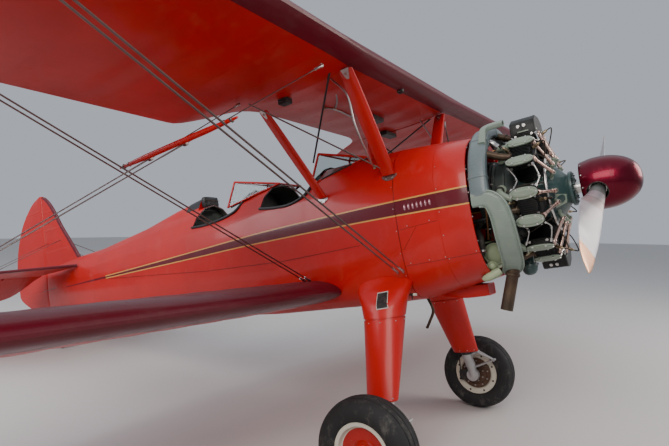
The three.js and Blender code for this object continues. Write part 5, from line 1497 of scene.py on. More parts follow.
def flat_wire(start, end):
    """A streamlined wire, round where it is threaded near its ends."""
    start, end = Vector(start), Vector(end)
    length, along = (end - start).length, (end - start).normalized()
    flat = (Vector((1, 0, 0)) - along * along.x).normalized()
    thin = along.cross(flat)
    rounds = [(at, thread, thread) for at in (0.0, 0.13)]
    rounds += [(at, wire_half, wire_thick) for at in (0.17, length - 0.17)]
    rounds += [(at, thread, thread) for at in (length - 0.13, length)]
    return loft([[start + along * at + flat * wide * c + thin * deep * s for c, s in turns(10)]
                 for at, wide, deep in rounds])


def wire_end(at, towards):
    """The fork, its pin and the locknut on the thread of a wire."""
    way = (towards - at).normalized()
    across = way.cross(Vector((1, 0, 0))).normalized() * 0.012
    return [tube(beside(at, way, (0.004, 0.014, 0.060, 0.066)), [0.007, 0.0105, 0.0085, 0.006], 12),
            tube(beside(at, way, (0.068, 0.078)), 0.0085, 6),
            tube(beside(at + way * 0.012, across, (-1, 1)), 0.0055)]


wires, wire_ends, bar_clamps = [], [], []
for word, side in both:
    tops = [upper_point(back, side * (strut_top_y - 0.060)) for back in spars]
    feet = [Vector((x, side * y, z)) for x, y, z in flying_feet]
    crossings = [foot.lerp(top, (bar_y - abs(foot.y)) / (abs(top.y) - abs(foot.y)))
                 for foot, top in zip(feet, tops)]
    ahead = (crossings[0] - crossings[1]).normalized()
    ends = [crossings[0] + ahead * 0.060, crossings[1] - ahead * 0.060]
    spots = np.linspace(0, 1, 15)
    bar = tube([ends[0].lerp(ends[1], t) for t in spots],
               [0.005 + 0.0098 * min(1.0, 4.2 * min(t, 1 - t)) ** 0.6 for t in spots], 18)
    mount(f"javelin_bar_{word}", bar, plain_red, "red_paint", replaces=f"bracing_{word}")
    for k, (foot, top) in enumerate(zip(feet, tops)):
        for shift in (-wire_gap / 2, wire_gap / 2):
            aside = Vector((shift, 0, 0))
            low = foot.lerp(top, 0.008) + aside
            high = top - Vector((0, 0, 0.098 - 0.012 * k)) + aside
            wires.append(flat_wire(low, high))
            wire_ends += wire_end(low, high) + wire_end(high, low)
            bar_clamps.append(tube(beside(crossings[k] + aside, (top - foot).normalized(),
                                          (-0.012, -0.010, 0.010, 0.012)),
                                   [0.006, 0.0090, 0.0090, 0.006], 12))
        through = crossings[0].lerp(crossings[1], landing_passes[k])
        through += Vector((0, -side * 0.022, -0.006))
        for start in (upper_point(landing_tops[k], side) - Vector((0, 0, 0.092 - 0.03 * k)),
                      lower_point(spars[k], side * (strut_foot_y - 0.060))
                      + Vector((0, 0, 0.108 - 0.035 * k))):
            wires.append(flat_wire(start, through))
            wire_ends += wire_end(start, through)
        bar_clamps.append(tube(beside(through, ahead, (-0.012, -0.010, 0.010, 0.012)),
                               [0.010, 0.013, 0.013, 0.010], 16))
wire_steel = Finish("wire_steel", (0.185, 0.150, 0.140), 0.34, metallic=0.9, scale=3.0).done(
    0.25, 0.08)
mount("bracing_wires", wires, wire_steel, "steel_wire")
mount("wire_forks", wire_ends, steel, "steel_wire")
mount("bar_clamps", bar_clamps, wire_steel, "steel_wire")

# Tail surfaces
# Welded steel tube frames under doped fabric: fin and rudder, stabilizer and elevators, each with
# ribs that show as ridges. The moving ones turn on pins in brackets, and their noses are round.

surface_steps, slot_depth = 14, 0.030


def tail_ring(front, rear, front_half, rear_half, place, ridge):
    """One section of a tail surface: a round nose, sides that taper, and a blunt rear edge."""
    nose = front - front_half
    outline = [(nose + front_half * cos(a), front_half * sin(a))
               for a in np.linspace(pi / 2, -pi / 2, 9)]
    side = []
    for k in range(1, surface_steps + 1):
        share = k / surface_steps
        bulge = sin(pi * min(1.0, share * 1.15) ** 0.8) * 0.10 * front_half
        half = front_half + (rear_half - front_half) * share + max(0, bulge) + ridge
        side.append((nose + (rear - nose) * share, half))
    outline += [(x, -half) for x, half in side] + side[::-1]
    return [place(x, off) for x, off in outline]


def surface(span, ribs, front_of, rear_of, halves, place, cuts=()):
    """A surface along a span; the fabric sinks between the ribs, and slots let brackets in."""
    spots = {*np.arange(*span, 0.03), span[1]}
    spots |= {r + d for r in ribs for d in (-0.010, -0.004, 0.004, 0.010)}
    rings = []
    for s, cut in slotted([s for s in spots if span[0] <= s <= span[1]], cuts):
        high = s in span or any(abs(s - r) < 0.005 for r in ribs)
        ring = tail_ring(front_of(s), rear_of(s), *halves, lambda x, off: place(x, s, off),
                         0.0 if high else -0.0022)
        rings.append([Vector((min(p.x, -slot_depth), p.y, p.z)) for p in ring] if cut else ring)
    return loft(rings)


rudder_hinge, tail_rear, post_front = -6.612, -6.573, -6.5603
stabilizer_height, elevator_droop = 0.277, math.radians(28)
hinge_heights, elevator_cuts = (0.060, 0.560, 1.080), (0.560, 1.360)
tail_ribs = (0.300, 0.640, 0.980, 1.300, 1.560)
# Front or rear edges: distance up or aside, and x; the elevator's is from its hinge
fin_table = [(0.330, -5.740), (0.420, -5.800), (0.670, -5.990), (0.870, -6.145), (1.050, -6.262),
             (1.180, -6.360), (1.270, -6.450), (1.325, -6.530)]
rudder_table = [(-0.245, -6.760), (-0.200, -6.960), (-0.120, -7.165), (0.0, -7.372),
                (0.130, -7.415), (0.400, -7.432), (0.650, -7.385), (0.910, -7.270),
                (1.080, -7.140), (1.230, -6.960), (1.310, -6.820), (1.345, -6.700)]
stabilizer_table = [(0.020, -5.570), (0.300, -5.680), (1.150, -6.010), (1.420, -6.130),
                    (1.600, -6.250), (1.700, -6.370), (1.748, -6.500)]
elevator_table = [(0.095, -0.060), (0.400, -0.560), (1.300, -0.560), (1.540, -0.500),
                  (1.680, -0.390), (1.755, -0.230)]


def edge_of(table):
    """A smooth edge through a table of places and distances."""
    order = sorted((p.x, p.y) for p in smooth_path([(s, x, 0) for s, x in table], 12))
    return lambda s: float(np.interp(s, *zip(*order)))


fin_edge, rudder_edge, stabilizer_edge, elevator_edge = (
    edge_of(table) for table in (fin_table, rudder_table, stabilizer_table, elevator_table))


def tail_finish(name, band, line=False):
    """Red, with a maroon leading edge and, on the stabilizer, a pale line below it."""
    paint = Finish(name, red, 0.38, coat=0.15)
    back, along = paint.place()
    if band:
        paint.tint(paint.math("LESS_THAN", paint.math("ABSOLUTE", back), band), maroon)
        if line:
            paint.tint(paint.math("COMPARE", back, -band, 0.004), (0.50, 0.30, 0.20))
    return paint.done(0.18, 0.10, grain=0.00006)


def upright_at(x, z, off):
    return Vector((x, off, z))


def level_at(x, y, off):
    return Vector((x, y, stabilizer_height + off))


def hinge_at(x, y, off):
    return Vector((x, y, off))


def fin_uv(point):
    return fin_edge(point.z) - point.x, point.z


def stabilizer_uv(point):
    back = stabilizer_edge(abs(point.y)) - point.x
    return (back if point.z > stabilizer_height else -back), point.y


rudder_paint = tail_finish("rudder_paint", 0)
stabilizer_paint = tail_finish("stabilizer_paint", 0.075, True)
post = loft([[(x, y, z) for x, y in ((tail_rear, -0.012), (tail_rear, 0.012), (post_front, 0.012),
                                     (post_front, -0.012))] for z in (-0.255, 0.420)])
mount("fin_skin", [surface((0.335, 1.325), (0.560, 0.850, 1.100), fin_edge, lambda z: tail_rear,
                           (0.013, 0.0232), upright_at), post],
      tail_finish("fin_paint", 0.062), "red_fabric", replaces="fin", uv=fin_uv)
mount("rudder_skin", surface((-0.245, 1.345), (0.050, 0.330, 0.610, 0.890, 1.150),
                             lambda z: rudder_hinge + 0.024, rudder_edge, (0.024, 0.005),
                             upright_at, hinge_heights),
      rudder_paint, "red_fabric", "rudder_body", "rudder", uv=fin_uv)
stabilizer = surface((0.150, 1.748), tail_ribs, stabilizer_edge, lambda y: tail_rear,
                     (0.016, 0.0232), level_at)
elevator = surface((0.095, 1.755), tail_ribs, lambda y: 0.024, elevator_edge, (0.024, 0.005),
                   hinge_at, elevator_cuts)
# Hinge tongues on the fixed surfaces, with an eye for each pin
tongue = [(tail_rear + 0.006, 0.013), (rudder_hinge - 0.006, 0.013), (rudder_hinge - 0.014, 0.006)]
tongue += [(x, -w) for x, w in tongue[::-1]]
hinges = []
for z in hinge_heights:
    hinges += [loft([[(x, w, z + off) for x, w in tongue] for off in (-0.0055, 0.0055)]),
               tube([(rudder_hinge, 0, z - 0.022), (rudder_hinge, 0, z + 0.022)], 0.0075, 12)]
for word, side in both:
    mount(f"stabilizer_skin_{word}", mirrored(stabilizer, side), stabilizer_paint, "red_fabric",
          replaces=f"stabilizer_{word}", uv=stabilizer_uv)
    mount(f"elevator_skin_{word}", mirrored(elevator, side), rudder_paint, "red_fabric",
          "elevator_body", f"elevator_{word}", uv=lambda point: point.xy,
          place=(stance @ Matrix.Translation((rudder_hinge, 0, stabilizer_height))
                 @ Matrix.Rotation(-elevator_droop, 4, "Y")))
    for y in (side * y for y in elevator_cuts):
        hinges += [slab([(x, stabilizer_height + w) for x, w in tongue], y - 0.0055, y + 0.0055),
                   tube([(rudder_hinge, y - 0.022, stabilizer_height),
                         (rudder_hinge, y + 0.022, stabilizer_height)], 0.0075, 12)]
mount("tail_hinges", hinges, steel, "bright_metal")

# Landing gear legs
# Wide sheet-metal fairings over the shock struts, screwed to the belly along a dark joint. Out of
# each comes a steel strut with a torque link, an axle, and the arm that holds the brake.

# Height, distance aside, front and rear edges, thickness
leg_table = np.array([
    (-0.380, 0.290, -1.130, -1.560, 0.200), (-0.440, 0.370, -1.112, -1.545, 0.220),
    (-0.480, 0.430, -1.108, -1.520, 0.232), (-0.560, 0.505, -1.116, -1.456, 0.232),
    (-0.655, 0.548, -1.127, -1.427, 0.216), (-1.138, 0.765, -1.150, -1.368, 0.097)])[::-1]
# Heights of the fairing's rings and how far each stands out: above the joint, the joint, below it,
# the lip and the inside
leg_rings = [(z, 0.0) for z in (-0.385, -0.41, -0.44, -0.46, -0.48, -0.52, -0.56, -0.60, -0.648)]
leg_rings += [(-0.6485, -0.007), (-0.6595, -0.007)]
leg_rings += [(z, 0.0) for z in (-0.660, -0.70, -0.78, -0.86, -0.94, -1.02, -1.08, -1.132)]
leg_rings += [(-1.134, -0.002), (-1.1382, -0.004), (-1.1382, -0.007), (-1.06, -0.007)]
wheel_x, wheel_y = -1.264, 1.004


def wheel_height(x, radius):
    """Height in the aircraft's frame of a wheel centre that stands on the ground."""
    return (radius - hub.z - x * sin(nose_up)) / cos(nose_up)


def leg_ring(z, side, margin=0.0):
    y, front, rear, thickness = looked_up(leg_table, z)
    return [Vector(((front + rear) / 2 + ((front - rear) / 2 + margin) * c,
                    side * y + (thickness / 2 + margin) * (1.0 + 0.06 * c) * s, z))
            for c, s in turns(40)]


def at(x, y, z):
    """A place on the side that is being made."""
    return Vector((x, side * y, z))


def crossbar(spot, half, radius, sides):
    return tube(beside(spot, Vector((0, half, 0)), (-1, 1)), radius, sides)


wheel_z = wheel_height(wheel_x, 0.314)
leg_end_y, leg_end_z = leg_table[0][1], leg_table[0][0]
leg_x = (leg_table[0][2] + leg_table[0][3]) / 2
brake_arm = [(0.010, 0.040), (-0.020, 0.0445), (-0.118, 0.0445), (-0.129, 0.030)]
brake_arm += [(x, -z) for x, z in brake_arm[::-1]]
gear_steel = enamel("strut_silver", (0.42, 0.42, 0.42), 0.36, 0.5)
gear_black = enamel("gear_black", (0.014, 0.013, 0.013), 0.5)
leg_screws = []
for word, side in both:
    mount(f"leg_fairing_{word}", loft([leg_ring(z, side, margin) for z, margin in leg_rings]),
          plain_red, "red_paint", replaces=f"landing_gear_leg_{word}", sharp=28)
    for z, start in ((-0.672, 0.1), (-1.120, 0.3)):
        ring = leg_ring(z, side)
        middle = sum(ring, Vector()) / 40
        for k in range(9):
            spot = ring[int(40 * (k + start) / 9) % 40]
            out = (spot - middle).normalized()
            leg_screws.append((spot, Vector((out.x * 0.4, out.y, 0)).normalized()))
    shoulder, knee = at(leg_x, leg_end_y, leg_end_z - 0.030), at(leg_x, 0.812, -1.250)
    foot = at(wheel_x, 0.862, wheel_z)
    link_top, link_joint = at(leg_x + 0.084, 0.815, -1.150), at(leg_x + 0.207, 0.840, -1.233)
    link_foot = at(wheel_x + 0.034, 0.854, wheel_z + 0.070)
    pieces = [tube([at(leg_x, leg_end_y, leg_end_z + 0.010), shoulder, shoulder.lerp(knee, 0.5),
                    knee, *[knee.lerp(foot, t) for t in (0.10, 0.14, 0.7, 1)]],
                   [0.040, 0.040, 0.040, 0.041, 0.044, 0.036, 0.038, 0.045], 28),
              tube([at(wheel_x, y, wheel_z) for y in (0.830, 1.078, 1.085)],
                   [0.0238, 0.0238, 0.018], 24),
              tube([at(wheel_x, y, wheel_z) for y in (0.826, 0.830, 0.874, 0.878)],
                   [0.049, 0.052, 0.052, 0.049], 32),
              tube([at(leg_x, 0.780, -1.172), link_top], 0.0135, 14)]
    for start, end in ((link_top, link_joint), (link_foot, link_joint)):
        for off in (Vector((0, -0.013, 0)), Vector((0, 0.013, 0))):
            pieces.append(tube([start + off * 1.5, end + off * 0.5], [0.0080, 0.0066]))
        pieces.append(crossbar(start.lerp(end, 0.45), 0.017, 0.0050, 8))
    pieces += [crossbar(spot, half, 0.0105, 14) for spot, half in
               ((link_joint, 0.022), (link_top, 0.026), (link_foot, 0.026))]
    mount(f"gear_strut_{word}", pieces, gear_steel, "steel_wire",
          replaces=f"landing_gear_axle_{word}")
    # The block at the fairing's end, its collar, and the arm to the brake
    black = [tube([at(leg_x, leg_end_y, z) for z in (-1.120, -1.140, -1.156, -1.160)],
                  [0.040, 0.046, 0.046, 0.043], 28),
             loft([[at(wheel_x + x, y, wheel_z + z) for x, z in brake_arm]
                   for y in (0.8625, 0.8835)])]
    mount(f"brake_arm_{word}", black, gear_black, "cylinder_black")
    hose = smooth_path([at(leg_x - 0.060, 0.768, -1.130), at(leg_x - 0.085, 0.800, -1.190),
                        at(wheel_x - 0.105, 0.850, -1.280),
                        at(wheel_x - 0.120, 0.872, wheel_z + 0.04)])
    mount(f"brake_hose_{word}", tube(hose, 0.0055), hose_rubber, "cylinder_black")
heads("leg_screws", leg_screws, 0.0042, 0.0020, steel, sides=10)

# A blank black plate with a pale border sits on the near fairing's upper front corner.
plate_corners = [Vector(p) for p in ((-1.299, -0.484), (-1.222, -0.480), (-1.197, -0.588),
                                     (-1.279, -0.592))]


def on_leg(u, v, grow, lift):
    """A point of the near leg's skin, as shares across and down the plate."""
    u, v = 0.5 + (u - 0.5) * grow, 0.5 + (v - 0.5) * grow
    a, b, c, d = plate_corners
    x, z = (a * (1 - u) + b * u) * (1 - v) + (d * (1 - u) + c * u) * v
    middle = looked_up(leg_table, z)[0]
    ring = sorted((q.x, q.y) for q in leg_ring(z, -1, lift) if -q.y > middle)
    return Vector((x, float(np.interp(x, *zip(*ring))), z))


def leg_patch(grow, lift):
    steps = np.linspace(0, 1, 7)
    return loft([[on_leg(u, v, grow, lift) for u in steps]
                 + [on_leg(u, v, grow, -0.003) for u in steps[::-1]] for v in steps])


pale_border = Finish("plate_border", (0.42, 0.40, 0.36), 0.5).done(0.2, 0.2)
mount("leg_plate_border", leg_patch(1.0, 0.0015), pale_border, "plate_black")
mount("leg_plate", leg_patch(0.88, 0.0024), gear_black, "plate_black")

# Wheels and tyres
# Cast wheels with a deep hub, a ring of bolt holes and a brake inside; the holes are flat black
# discs, painted shade. Each one's outer face is a red hub plate with a cream ring. Bias tyres with
# three grooves and worn, dusty treads.

wheel_cream = Finish("wheel_cream", (0.60, 0.57, 0.47), 0.42, coat=0.15).done(
    0.3, 0.35, 0.1, dust_colour=(0.26, 0.20, 0.15))
tyre_rubber = Finish("tyre_rubber", (0.018, 0.018, 0.019), 0.72, scale=2.0).done(
    0.35, 0.85, grain=0.0004, dust_colour=(0.135, 0.13, 0.115))
hub_red = enamel("hub_red", (0.36, 0.012, 0.009), 0.35)
brake_brown = enamel("brake_iron", (0.110, 0.062, 0.040), 0.5, 0.6)


def about_axle(profile, sides=56, side=1, centre=(0, 0, 0)):
    """A profile of (distance outboard, radius) pairs turned about an axle."""
    x, y, z = centre
    return loft([[Vector((x + r * c, side * (y + out), z + r * s)) for c, s in turns(sides)]
                 for out, r in profile], caps=False)


def both_ways(half):
    """A closed profile that is the same on both sides of the wheel."""
    return half + [(-out, r) for out, r in reversed(half)] + half[:1]


def face_spots(count, radius, out, start, side):
    """Places round the wheel's inner face."""
    return [((wheel_x + radius * c, side * (wheel_y + out), wheel_z + radius * s), (0, -side, 0))
            for c, s in turns(count, start)]


# Distance outboard of the wheel's middle, and radius
tyre_half = [(-0.080, 0.1843), (-0.088, 0.190), (-0.095, 0.204), (-0.101, 0.222),
             (-0.1028, 0.236), (-0.1028, 0.251), (-0.099, 0.268), (-0.091, 0.284),
             (-0.084, 0.292), (-0.078, 0.2975), (-0.066, 0.3025), (-0.054, 0.3065),
             (-0.046, 0.3085), (-0.044, 0.3030), (-0.040, 0.3030), (-0.038, 0.3100),
             (-0.022, 0.3130), (-0.0045, 0.3137), (-0.002, 0.3075)]
rim_profile = [
    (-0.066, 0.0245), (-0.066, 0.132), (-0.076, 0.138), (-0.0795, 0.142), (-0.080, 0.1810),
    (-0.077, 0.1836), (0.077, 0.1836), (0.080, 0.1810), (0.080, 0.162), (0.077, 0.158),
    (0.066, 0.155), (0.052, 0.150), (0.049, 0.146), (0.040, 0.085), (0.041, 0.073),
    (0.048, 0.067), (0.072, 0.060), (0.078, 0.055), (0.078, 0.0245), (-0.066, 0.0245)]
hub_profile = [
    (0.0412, 0.0250), (0.0790, 0.0250), (0.0790, 0.0540), (0.0740, 0.0600), (0.0490, 0.0680),
    (0.0425, 0.0740), (0.0425, 0.0900), (0.0500, 0.1440), (0.0460, 0.1440), (0.0412, 0.0900),
    (0.0412, 0.0250)]
brake_profile = [
    (-0.0800, 0.0245), (-0.0805, 0.084), (-0.0770, 0.088), (-0.0770, 0.094), (-0.0800, 0.098),
    (-0.0800, 0.126), (-0.0770, 0.130), (-0.0665, 0.130), (-0.0665, 0.0245), (-0.0800, 0.0245)]
for word, side in both:
    for name, profile, sides, material, slot, replaced in (
            (f"tyre_{word}_rubber", both_ways(tyre_half), 80, tyre_rubber, "tyre", f"tyre_{word}"),
            (f"wheel_casting_{word}", rim_profile, 72, wheel_cream, "wheel_cream",
             f"wheel_rim_{word}"),
            (f"hub_plate_{word}", hub_profile, 72, hub_red, "wheel_cream", ""),
            (f"brake_disc_{word}", brake_profile, 72, brake_brown, "burnt_steel", "")):
        mount(name, about_axle(profile, sides, side, (wheel_x, wheel_y, wheel_z)), material, slot,
              f"{word}_wheel", replaced)
    bolts = face_spots(8, 0.068, -0.0805, 0.2, side) + face_spots(10, 0.108, -0.0800, 0.1, side)
    heads(f"wheel_bolts_{word}", bolts, 0.0075, 0.0060, steel, body=f"{word}_wheel")
    # The ring of holes is painted shade: thin black discs on the face where the holes would be dark
    # inside.
    heads(f"hole_shade_discs_{word}", face_spots(8, 0.160, -0.0800, 0.3, side), 0.0088, 0.0012,
          gear_black, "cylinder_black", 16, f"{word}_wheel")

# Tail wheel
# A steel arm and a stay hold a socket under the stern; in it turns a welded fork with a small
# solid-tyred wheel on a cast centre. Grease and dust have collected on all of it.

tail_x, tail_trail = -6.400, 0.095
tail_centre = Vector((tail_x, 0, wheel_height(tail_x, 0.130)))
# Upright about the axle, whatever the stance
tail_place = Matrix.Translation(stance @ tail_centre)


def upright(z, x=tail_trail):
    return tail_centre + Matrix.Rotation(nose_up, 3, "Y") @ Vector((x, 0, z))


def plate(outline, near, far):
    """A plate across the aircraft, its edges a little rounded."""
    x, z = (sum(values) / len(outline) for values in zip(*outline))
    return loft([[(x + (px - x) * k, near + (far - near) * t, z + (pz - z) * k)
                  for px, pz in outline]
                 for t, k in ((0, 0.96), (0.2, 1.0), (0.8, 1.0), (1, 0.96))])


fork_outline = [(-0.017, -0.020), (0.006, -0.024), (0.022, -0.014), (0.085, 0.080),
                (0.124, 0.146), (0.125, 0.168), (0.066, 0.170), (0.056, 0.146), (0.020, 0.072),
                (-0.022, 0.012)]
fork_parts = [part for side in (-1, 1) for part in (
    plate(fork_outline, side * 0.037, side * 0.045),
    tube([(0, side * 0.045, 0), (0, side * 0.0485, 0)], 0.0165, 6))]
fork_parts += [rounded_box((0.063, -0.0408, 0.150), (0.125, 0.0408, 0.178), 0.008),
               tube([(tail_trail, 0, z) for z in (0.178, 0.180, 0.2445)], [0.026, 0.0158, 0.0158],
                    24),
               tube([(0, -0.048, 0), (0, 0.048, 0)], 0.0098, 20)]
mount("tail_fork_frame", fork_parts, gear_steel, "red_paint", "tail_fork", "tail_wheel_fork",
      place=tail_place)
tread = [(-0.0285, 0.074), (-0.0305, 0.080), (-0.0310, 0.098), (-0.028, 0.108), (-0.0215, 0.119),
         (-0.012, 0.127), (-0.004, 0.1298)]
centre = [(-0.029, 0.0108), (-0.029, 0.026), (-0.022, 0.030), (-0.018, 0.060), (-0.026, 0.066),
          (-0.0285, 0.0735)]
mount("tail_tyre", about_axle(both_ways(tread)), tyre_rubber, "tail_tyre", "tail_wheel_body",
      "tail_wheel", place=tail_place)
mount("tail_wheel_centre", about_axle(both_ways(centre)), gear_steel, "bright_metal",
      "tail_wheel_body", place=tail_place)
socket_top = tube([upright(z) for z in (0.250, 0.262, 0.266, 0.281, 0.285)],
                  [0.027, 0.027, 0.030, 0.030, 0.020], 28)
sleeve = [upright(z) for z in (0.182, 0.186, 0.215, 0.219, 0.250)]
socket = tube(sleeve + sleeve[::-1], [0.0285, 0.030, 0.030, 0.027, 0.027] + [0.0175] * 5, 28,
              caps=False)


def from_skin(top, end, shares):
    """Points of a line from the belly's skin down to its end."""
    line = [top.lerp(end, k / 100) for k in range(100)]
    first = next(k for k, p in enumerate(line) if p.z < section_at(p.x)[2] - 0.001) / 100
    return [top.lerp(end, t) for t in (first, *shares)]


arm = tube(from_skin(Vector((-6.010, 0, -0.270)), upright(0.225, tail_trail + 0.010), (0.5, 0.94)),
           [0.034, 0.033, 0.030], 24)
stay = tube(from_skin(Vector((-6.330, 0, -0.230)), upright(0.275), (0.9,)), 0.0195, 18)
mount("tail_wheel_arm", [arm, stay, socket_top, socket], plain_red, "red_paint",
      replaces="tail_wheel_strut")

# Cockpit floor and controls
# Boards across the steel frame, edged by the lower tubes, with a stick in each cockpit that rises
# from a leather boot, rudder bars on brackets, and a throttle lever on the port side.

floor_top, floor_under = -0.425, -0.439
cabin_inset = 0.0135


def inside_half(x, z):
    return side_point(x, z, 1).y - cabin_inset


def at(back, up, y=0.0):
    """A place in a cockpit, from the foot of its stick."""
    return Vector((foot - back, y, floor_top + up))


boards, edges = [], np.linspace(-1.1655, -3.3695, 16)
for front, rear in zip(edges, edges[1:]):
    ring = [(x, side * inside_half(x, floor_under)) for x, side in (
        (front - 0.001, 1), (front - 0.001, -1), (rear + 0.001, -1), (rear + 0.001, 1))]
    boards.append(loft([[(*p, z) for p in ring] for z in (floor_under, floor_top)]))
board_paint = enamel("floor_grey", (0.085, 0.095, 0.082), 0.55)
mount("cockpit_boards", boards, board_paint, "cockpit_grey", replaces="cockpit_floor")
quadrant = [(-0.36, 0.56), (-0.26, 0.62), (-0.14, 0.63), (-0.05, 0.58), (-0.10, 0.53),
            (-0.30, 0.52)]
stick_metal, stick_black, frame_tubes = [], [], []
for foot in (-1.850, -2.750):
    wall = inside_half(foot + 0.2, 0.12) - 0.020
    stick_metal += [tube(smooth_path([at(0, 0.03), at(0.020, 0.20), at(0.048, 0.36),
                                      at(0.060, 0.48)], 5), 0.0125, 16),
                    tube([at(-0.22, 0.58, wall - 0.014), at(-0.16, 0.69, wall - 0.030)], 0.005)]
    stick_black += [
        tube([at(0, h) for h in (0.0, 0.008, 0.016, 0.024, 0.032, 0.040)],
             [0.044, 0.045, 0.037, 0.036, 0.028, 0.020], 24),
        tube([at(0.0595 + 0.154 * h, 0.465 + h) for h in
              (0, 0.004, 0.020, 0.045, 0.070, 0.095, 0.112, 0.122)],
             [0.013, 0.0175, 0.0185, 0.0170, 0.0185, 0.0195, 0.0185, 0.011], 20),
        loft([[at(u, v, wall + w) for u, v in quadrant] for w in (-0.012, 0.008)]),
        tube([at(-0.160 + d * 0.3, 0.69 + d, wall - 0.030 - d * 0.1)
              for d in (-0.008, 0.0, 0.014, 0.022)], [0.008, 0.014, 0.014, 0.006], 14)]
    for side in (-1, 1):
        stick_metal += [tube([at(-0.48, 0.10, side * y) for y in (0.06, 0.19)], 0.0105, 12),
                        tube([at(-0.50, 0.0, side * 0.12), at(-0.48, 0.10, side * 0.12)],
                             0.0095, 12)]
for side in (-1, 1):
    for z, radius in ((-0.400, 0.014), (0.120, 0.013)):
        frame_tubes.append(tube([(x, side * (inside_half(x, z) - radius - 0.002), z)
                                 for x in np.linspace(-1.20, -3.36, 12)], radius, 12))
    feet, tops = ([(x, side * (inside_half(x, z) - inset), z)
                   for x in (-1.45, -1.95, -2.46, -2.95, -3.34)]
                  for z, inset in ((-0.40, 0.016), (0.12, 0.015)))
    frame_tubes += [tube([foot, top], 0.011, 12) for foot, top in zip(feet, tops)]
    frame_tubes += [tube([top, foot], 0.009, 12) for top, foot in zip(tops, feet[1:])]
mount("control_sticks", stick_metal, steel, "bright_metal")
mount("stick_grips", stick_black, coaming_leather, "instrument_black")
mount("cabin_frame", frame_tubes, board_paint, "cockpit_grey")

# Instrument panels
# Black crackle panels under both decks, each with seven round dials in bright bezels and a row of
# small screws. Ticks and a white needle mark every dial.

panel_bottom, panel_thick = 0.130, 0.0118
panel_black = Finish("panel_crackle", (0.016, 0.016, 0.017), 0.55, scale=4.0).done(
    0.2, 0.25, grain=0.0006)
dial_white = Finish("dial_white", (0.62, 0.62, 0.55), 0.5).done(0.15, 0.1)
# y, z and radius of the dials
dials = [(-0.105, 0.400, 0.043), (0.0, 0.415, 0.043), (0.105, 0.400, 0.043),
         (-0.135, 0.292, 0.036), (-0.045, 0.300, 0.043), (0.055, 0.300, 0.036),
         (0.150, 0.292, 0.030)]
screw_places = [(-0.10 + 0.05 * k, 0.205) for k in range(5)]
screw_places += [(-0.27, 0.17), (0.27, 0.17), (-0.22, 0.38), (0.22, 0.38)]


def dial_part(steps):
    """A round part of the dial being made: distances off the panel and shares of its radius."""
    return loft([[(rear - out, y + radius * r * c, z + radius * r * s) for c, s in turns(32)]
                 for out, r in steps])


def mark(angle, near, far, half, lift=0.0042):
    """A mark on the dial being made, narrower at its outer end."""
    way = Vector((0, cos(angle), sin(angle)))
    aside = Vector((0, -way.z, way.y)) * half
    ring = [Vector((rear, y, z)) + way * radius * far_out + aside * k
            for far_out, k in ((near, 1), (near, -1), (far, -0.4), (far, 0.4))]
    return loft([[p - Vector((h, 0, 0)) for p in ring] for h in (0.0032, lift)])


panels, bezels, faces, ticks, panel_screws = [], [], [], [], []
for front in (-1.776, -2.622):
    rear, rings = front - panel_thick, []
    for x in (front - 0.0005, rear):
        points = [p for p in fuselage_ring(x, -cabin_inset) if p.z > panel_bottom]
        points.sort(key=lambda p: math.atan2(p.z - panel_bottom, p.y))
        edge = inside_half(x, panel_bottom)
        rings.append([(x, edge, panel_bottom), *points, (x, -edge, panel_bottom)])
    panels.append(loft(rings))
    for k, (y, z, radius) in enumerate(dials):
        bezels.append(dial_part([(-0.001, 1), (0.005, 1), (0.008, 0.95), (0.008, 0.88),
                                 (0.003, 0.86)]))
        faces.append(dial_part([(0.0028, 0.87), (0.0034, 0.86)]))
        ticks += [mark(2 * pi * j / 12, 0.68, 0.80, 0.0011) for j in range(12)]
        ticks.append(mark(1.1 + 1.7 * k, -0.15, 0.62, 0.0014, 0.0055))
    panel_screws += [((rear - 0.001, y, z), (-1, 0, 0)) for y, z in screw_places]
mount("panel_plates", panels, panel_black, "instrument_black",
      replaces="front_instrument_panel rear_instrument_panel")
mount("dial_bezels", bezels, steel, "bright_metal")
mount("dial_faces", faces, panel_black, "instrument_black")
mount("dial_marks", ticks, dial_white, "bright_metal")
heads("panel_screws", panel_screws, 0.006, 0.006, bright_steel, sides=12)

# Seats
# Pressed aluminium buckets on four legs. Each holds a leather cushion and a back pad, sewn and
# stuffed, and two webbing belts lie over its sides.

bucket = [(0, -0.030), (0.360, -0.030), (0.375, 0.090), (0.060, 0.180), (-0.040, 0.380),
          (-0.075, 0.380)]
hollow = [(0.012, -0.020), (0.420, -0.018), (0.420, 0.590), (-0.055, 0.590), (-0.056, 0.340),
          (-0.020, 0.15)]
pan = floor_top + 0.235
bucket_half, bucket_wall = 0.225, 0.006
seat_leather = Finish("seat_leather", (0.075, 0.032, 0.017), 0.45, coat=0.15, scale=3.0).done(
    0.5, 0.25, 0.1, 0.0007)


def stuffed(shape, swell, voxel):
    """The shape filled out as a stuffed cushion is, no point of it moved by more than the swell."""
    piece = scene_object("stuffed", to_mesh("stuffed", shape))
    even = piece.modifiers.new("even", "REMESH")
    even.mode = "VOXEL"
    even.voxel_size = voxel
    fine = finished(piece)
    piece.modifiers.clear()
    piece.data = fine
    cloth = piece.modifiers.new("cloth", "CLOTH")
    cloth.settings.use_pressure = True
    cloth.settings.uniform_pressure_force = 4
    cloth.settings.effector_weights.gravity = 0
    cloth.point_cache.frame_start, cloth.point_cache.frame_end = 1, 20
    for number in range(1, 21):
        bpy.context.scene.frame_set(number)
    swollen = finished(piece)
    piece.modifiers.clear()
    for rest, moved in zip(fine.vertices, swollen.vertices):
        step = moved.co - rest.co
        if step.length > swell:
            moved.co = rest.co + step.normalized() * swell
    piece.data = swollen
    bpy.context.scene.frame_set(1)
    smooth = piece.modifiers.new("finer", "SUBSURF")
    smooth.levels = smooth.render_levels = 1
    result = finished(piece)
    bpy.data.objects.remove(piece)
    return result


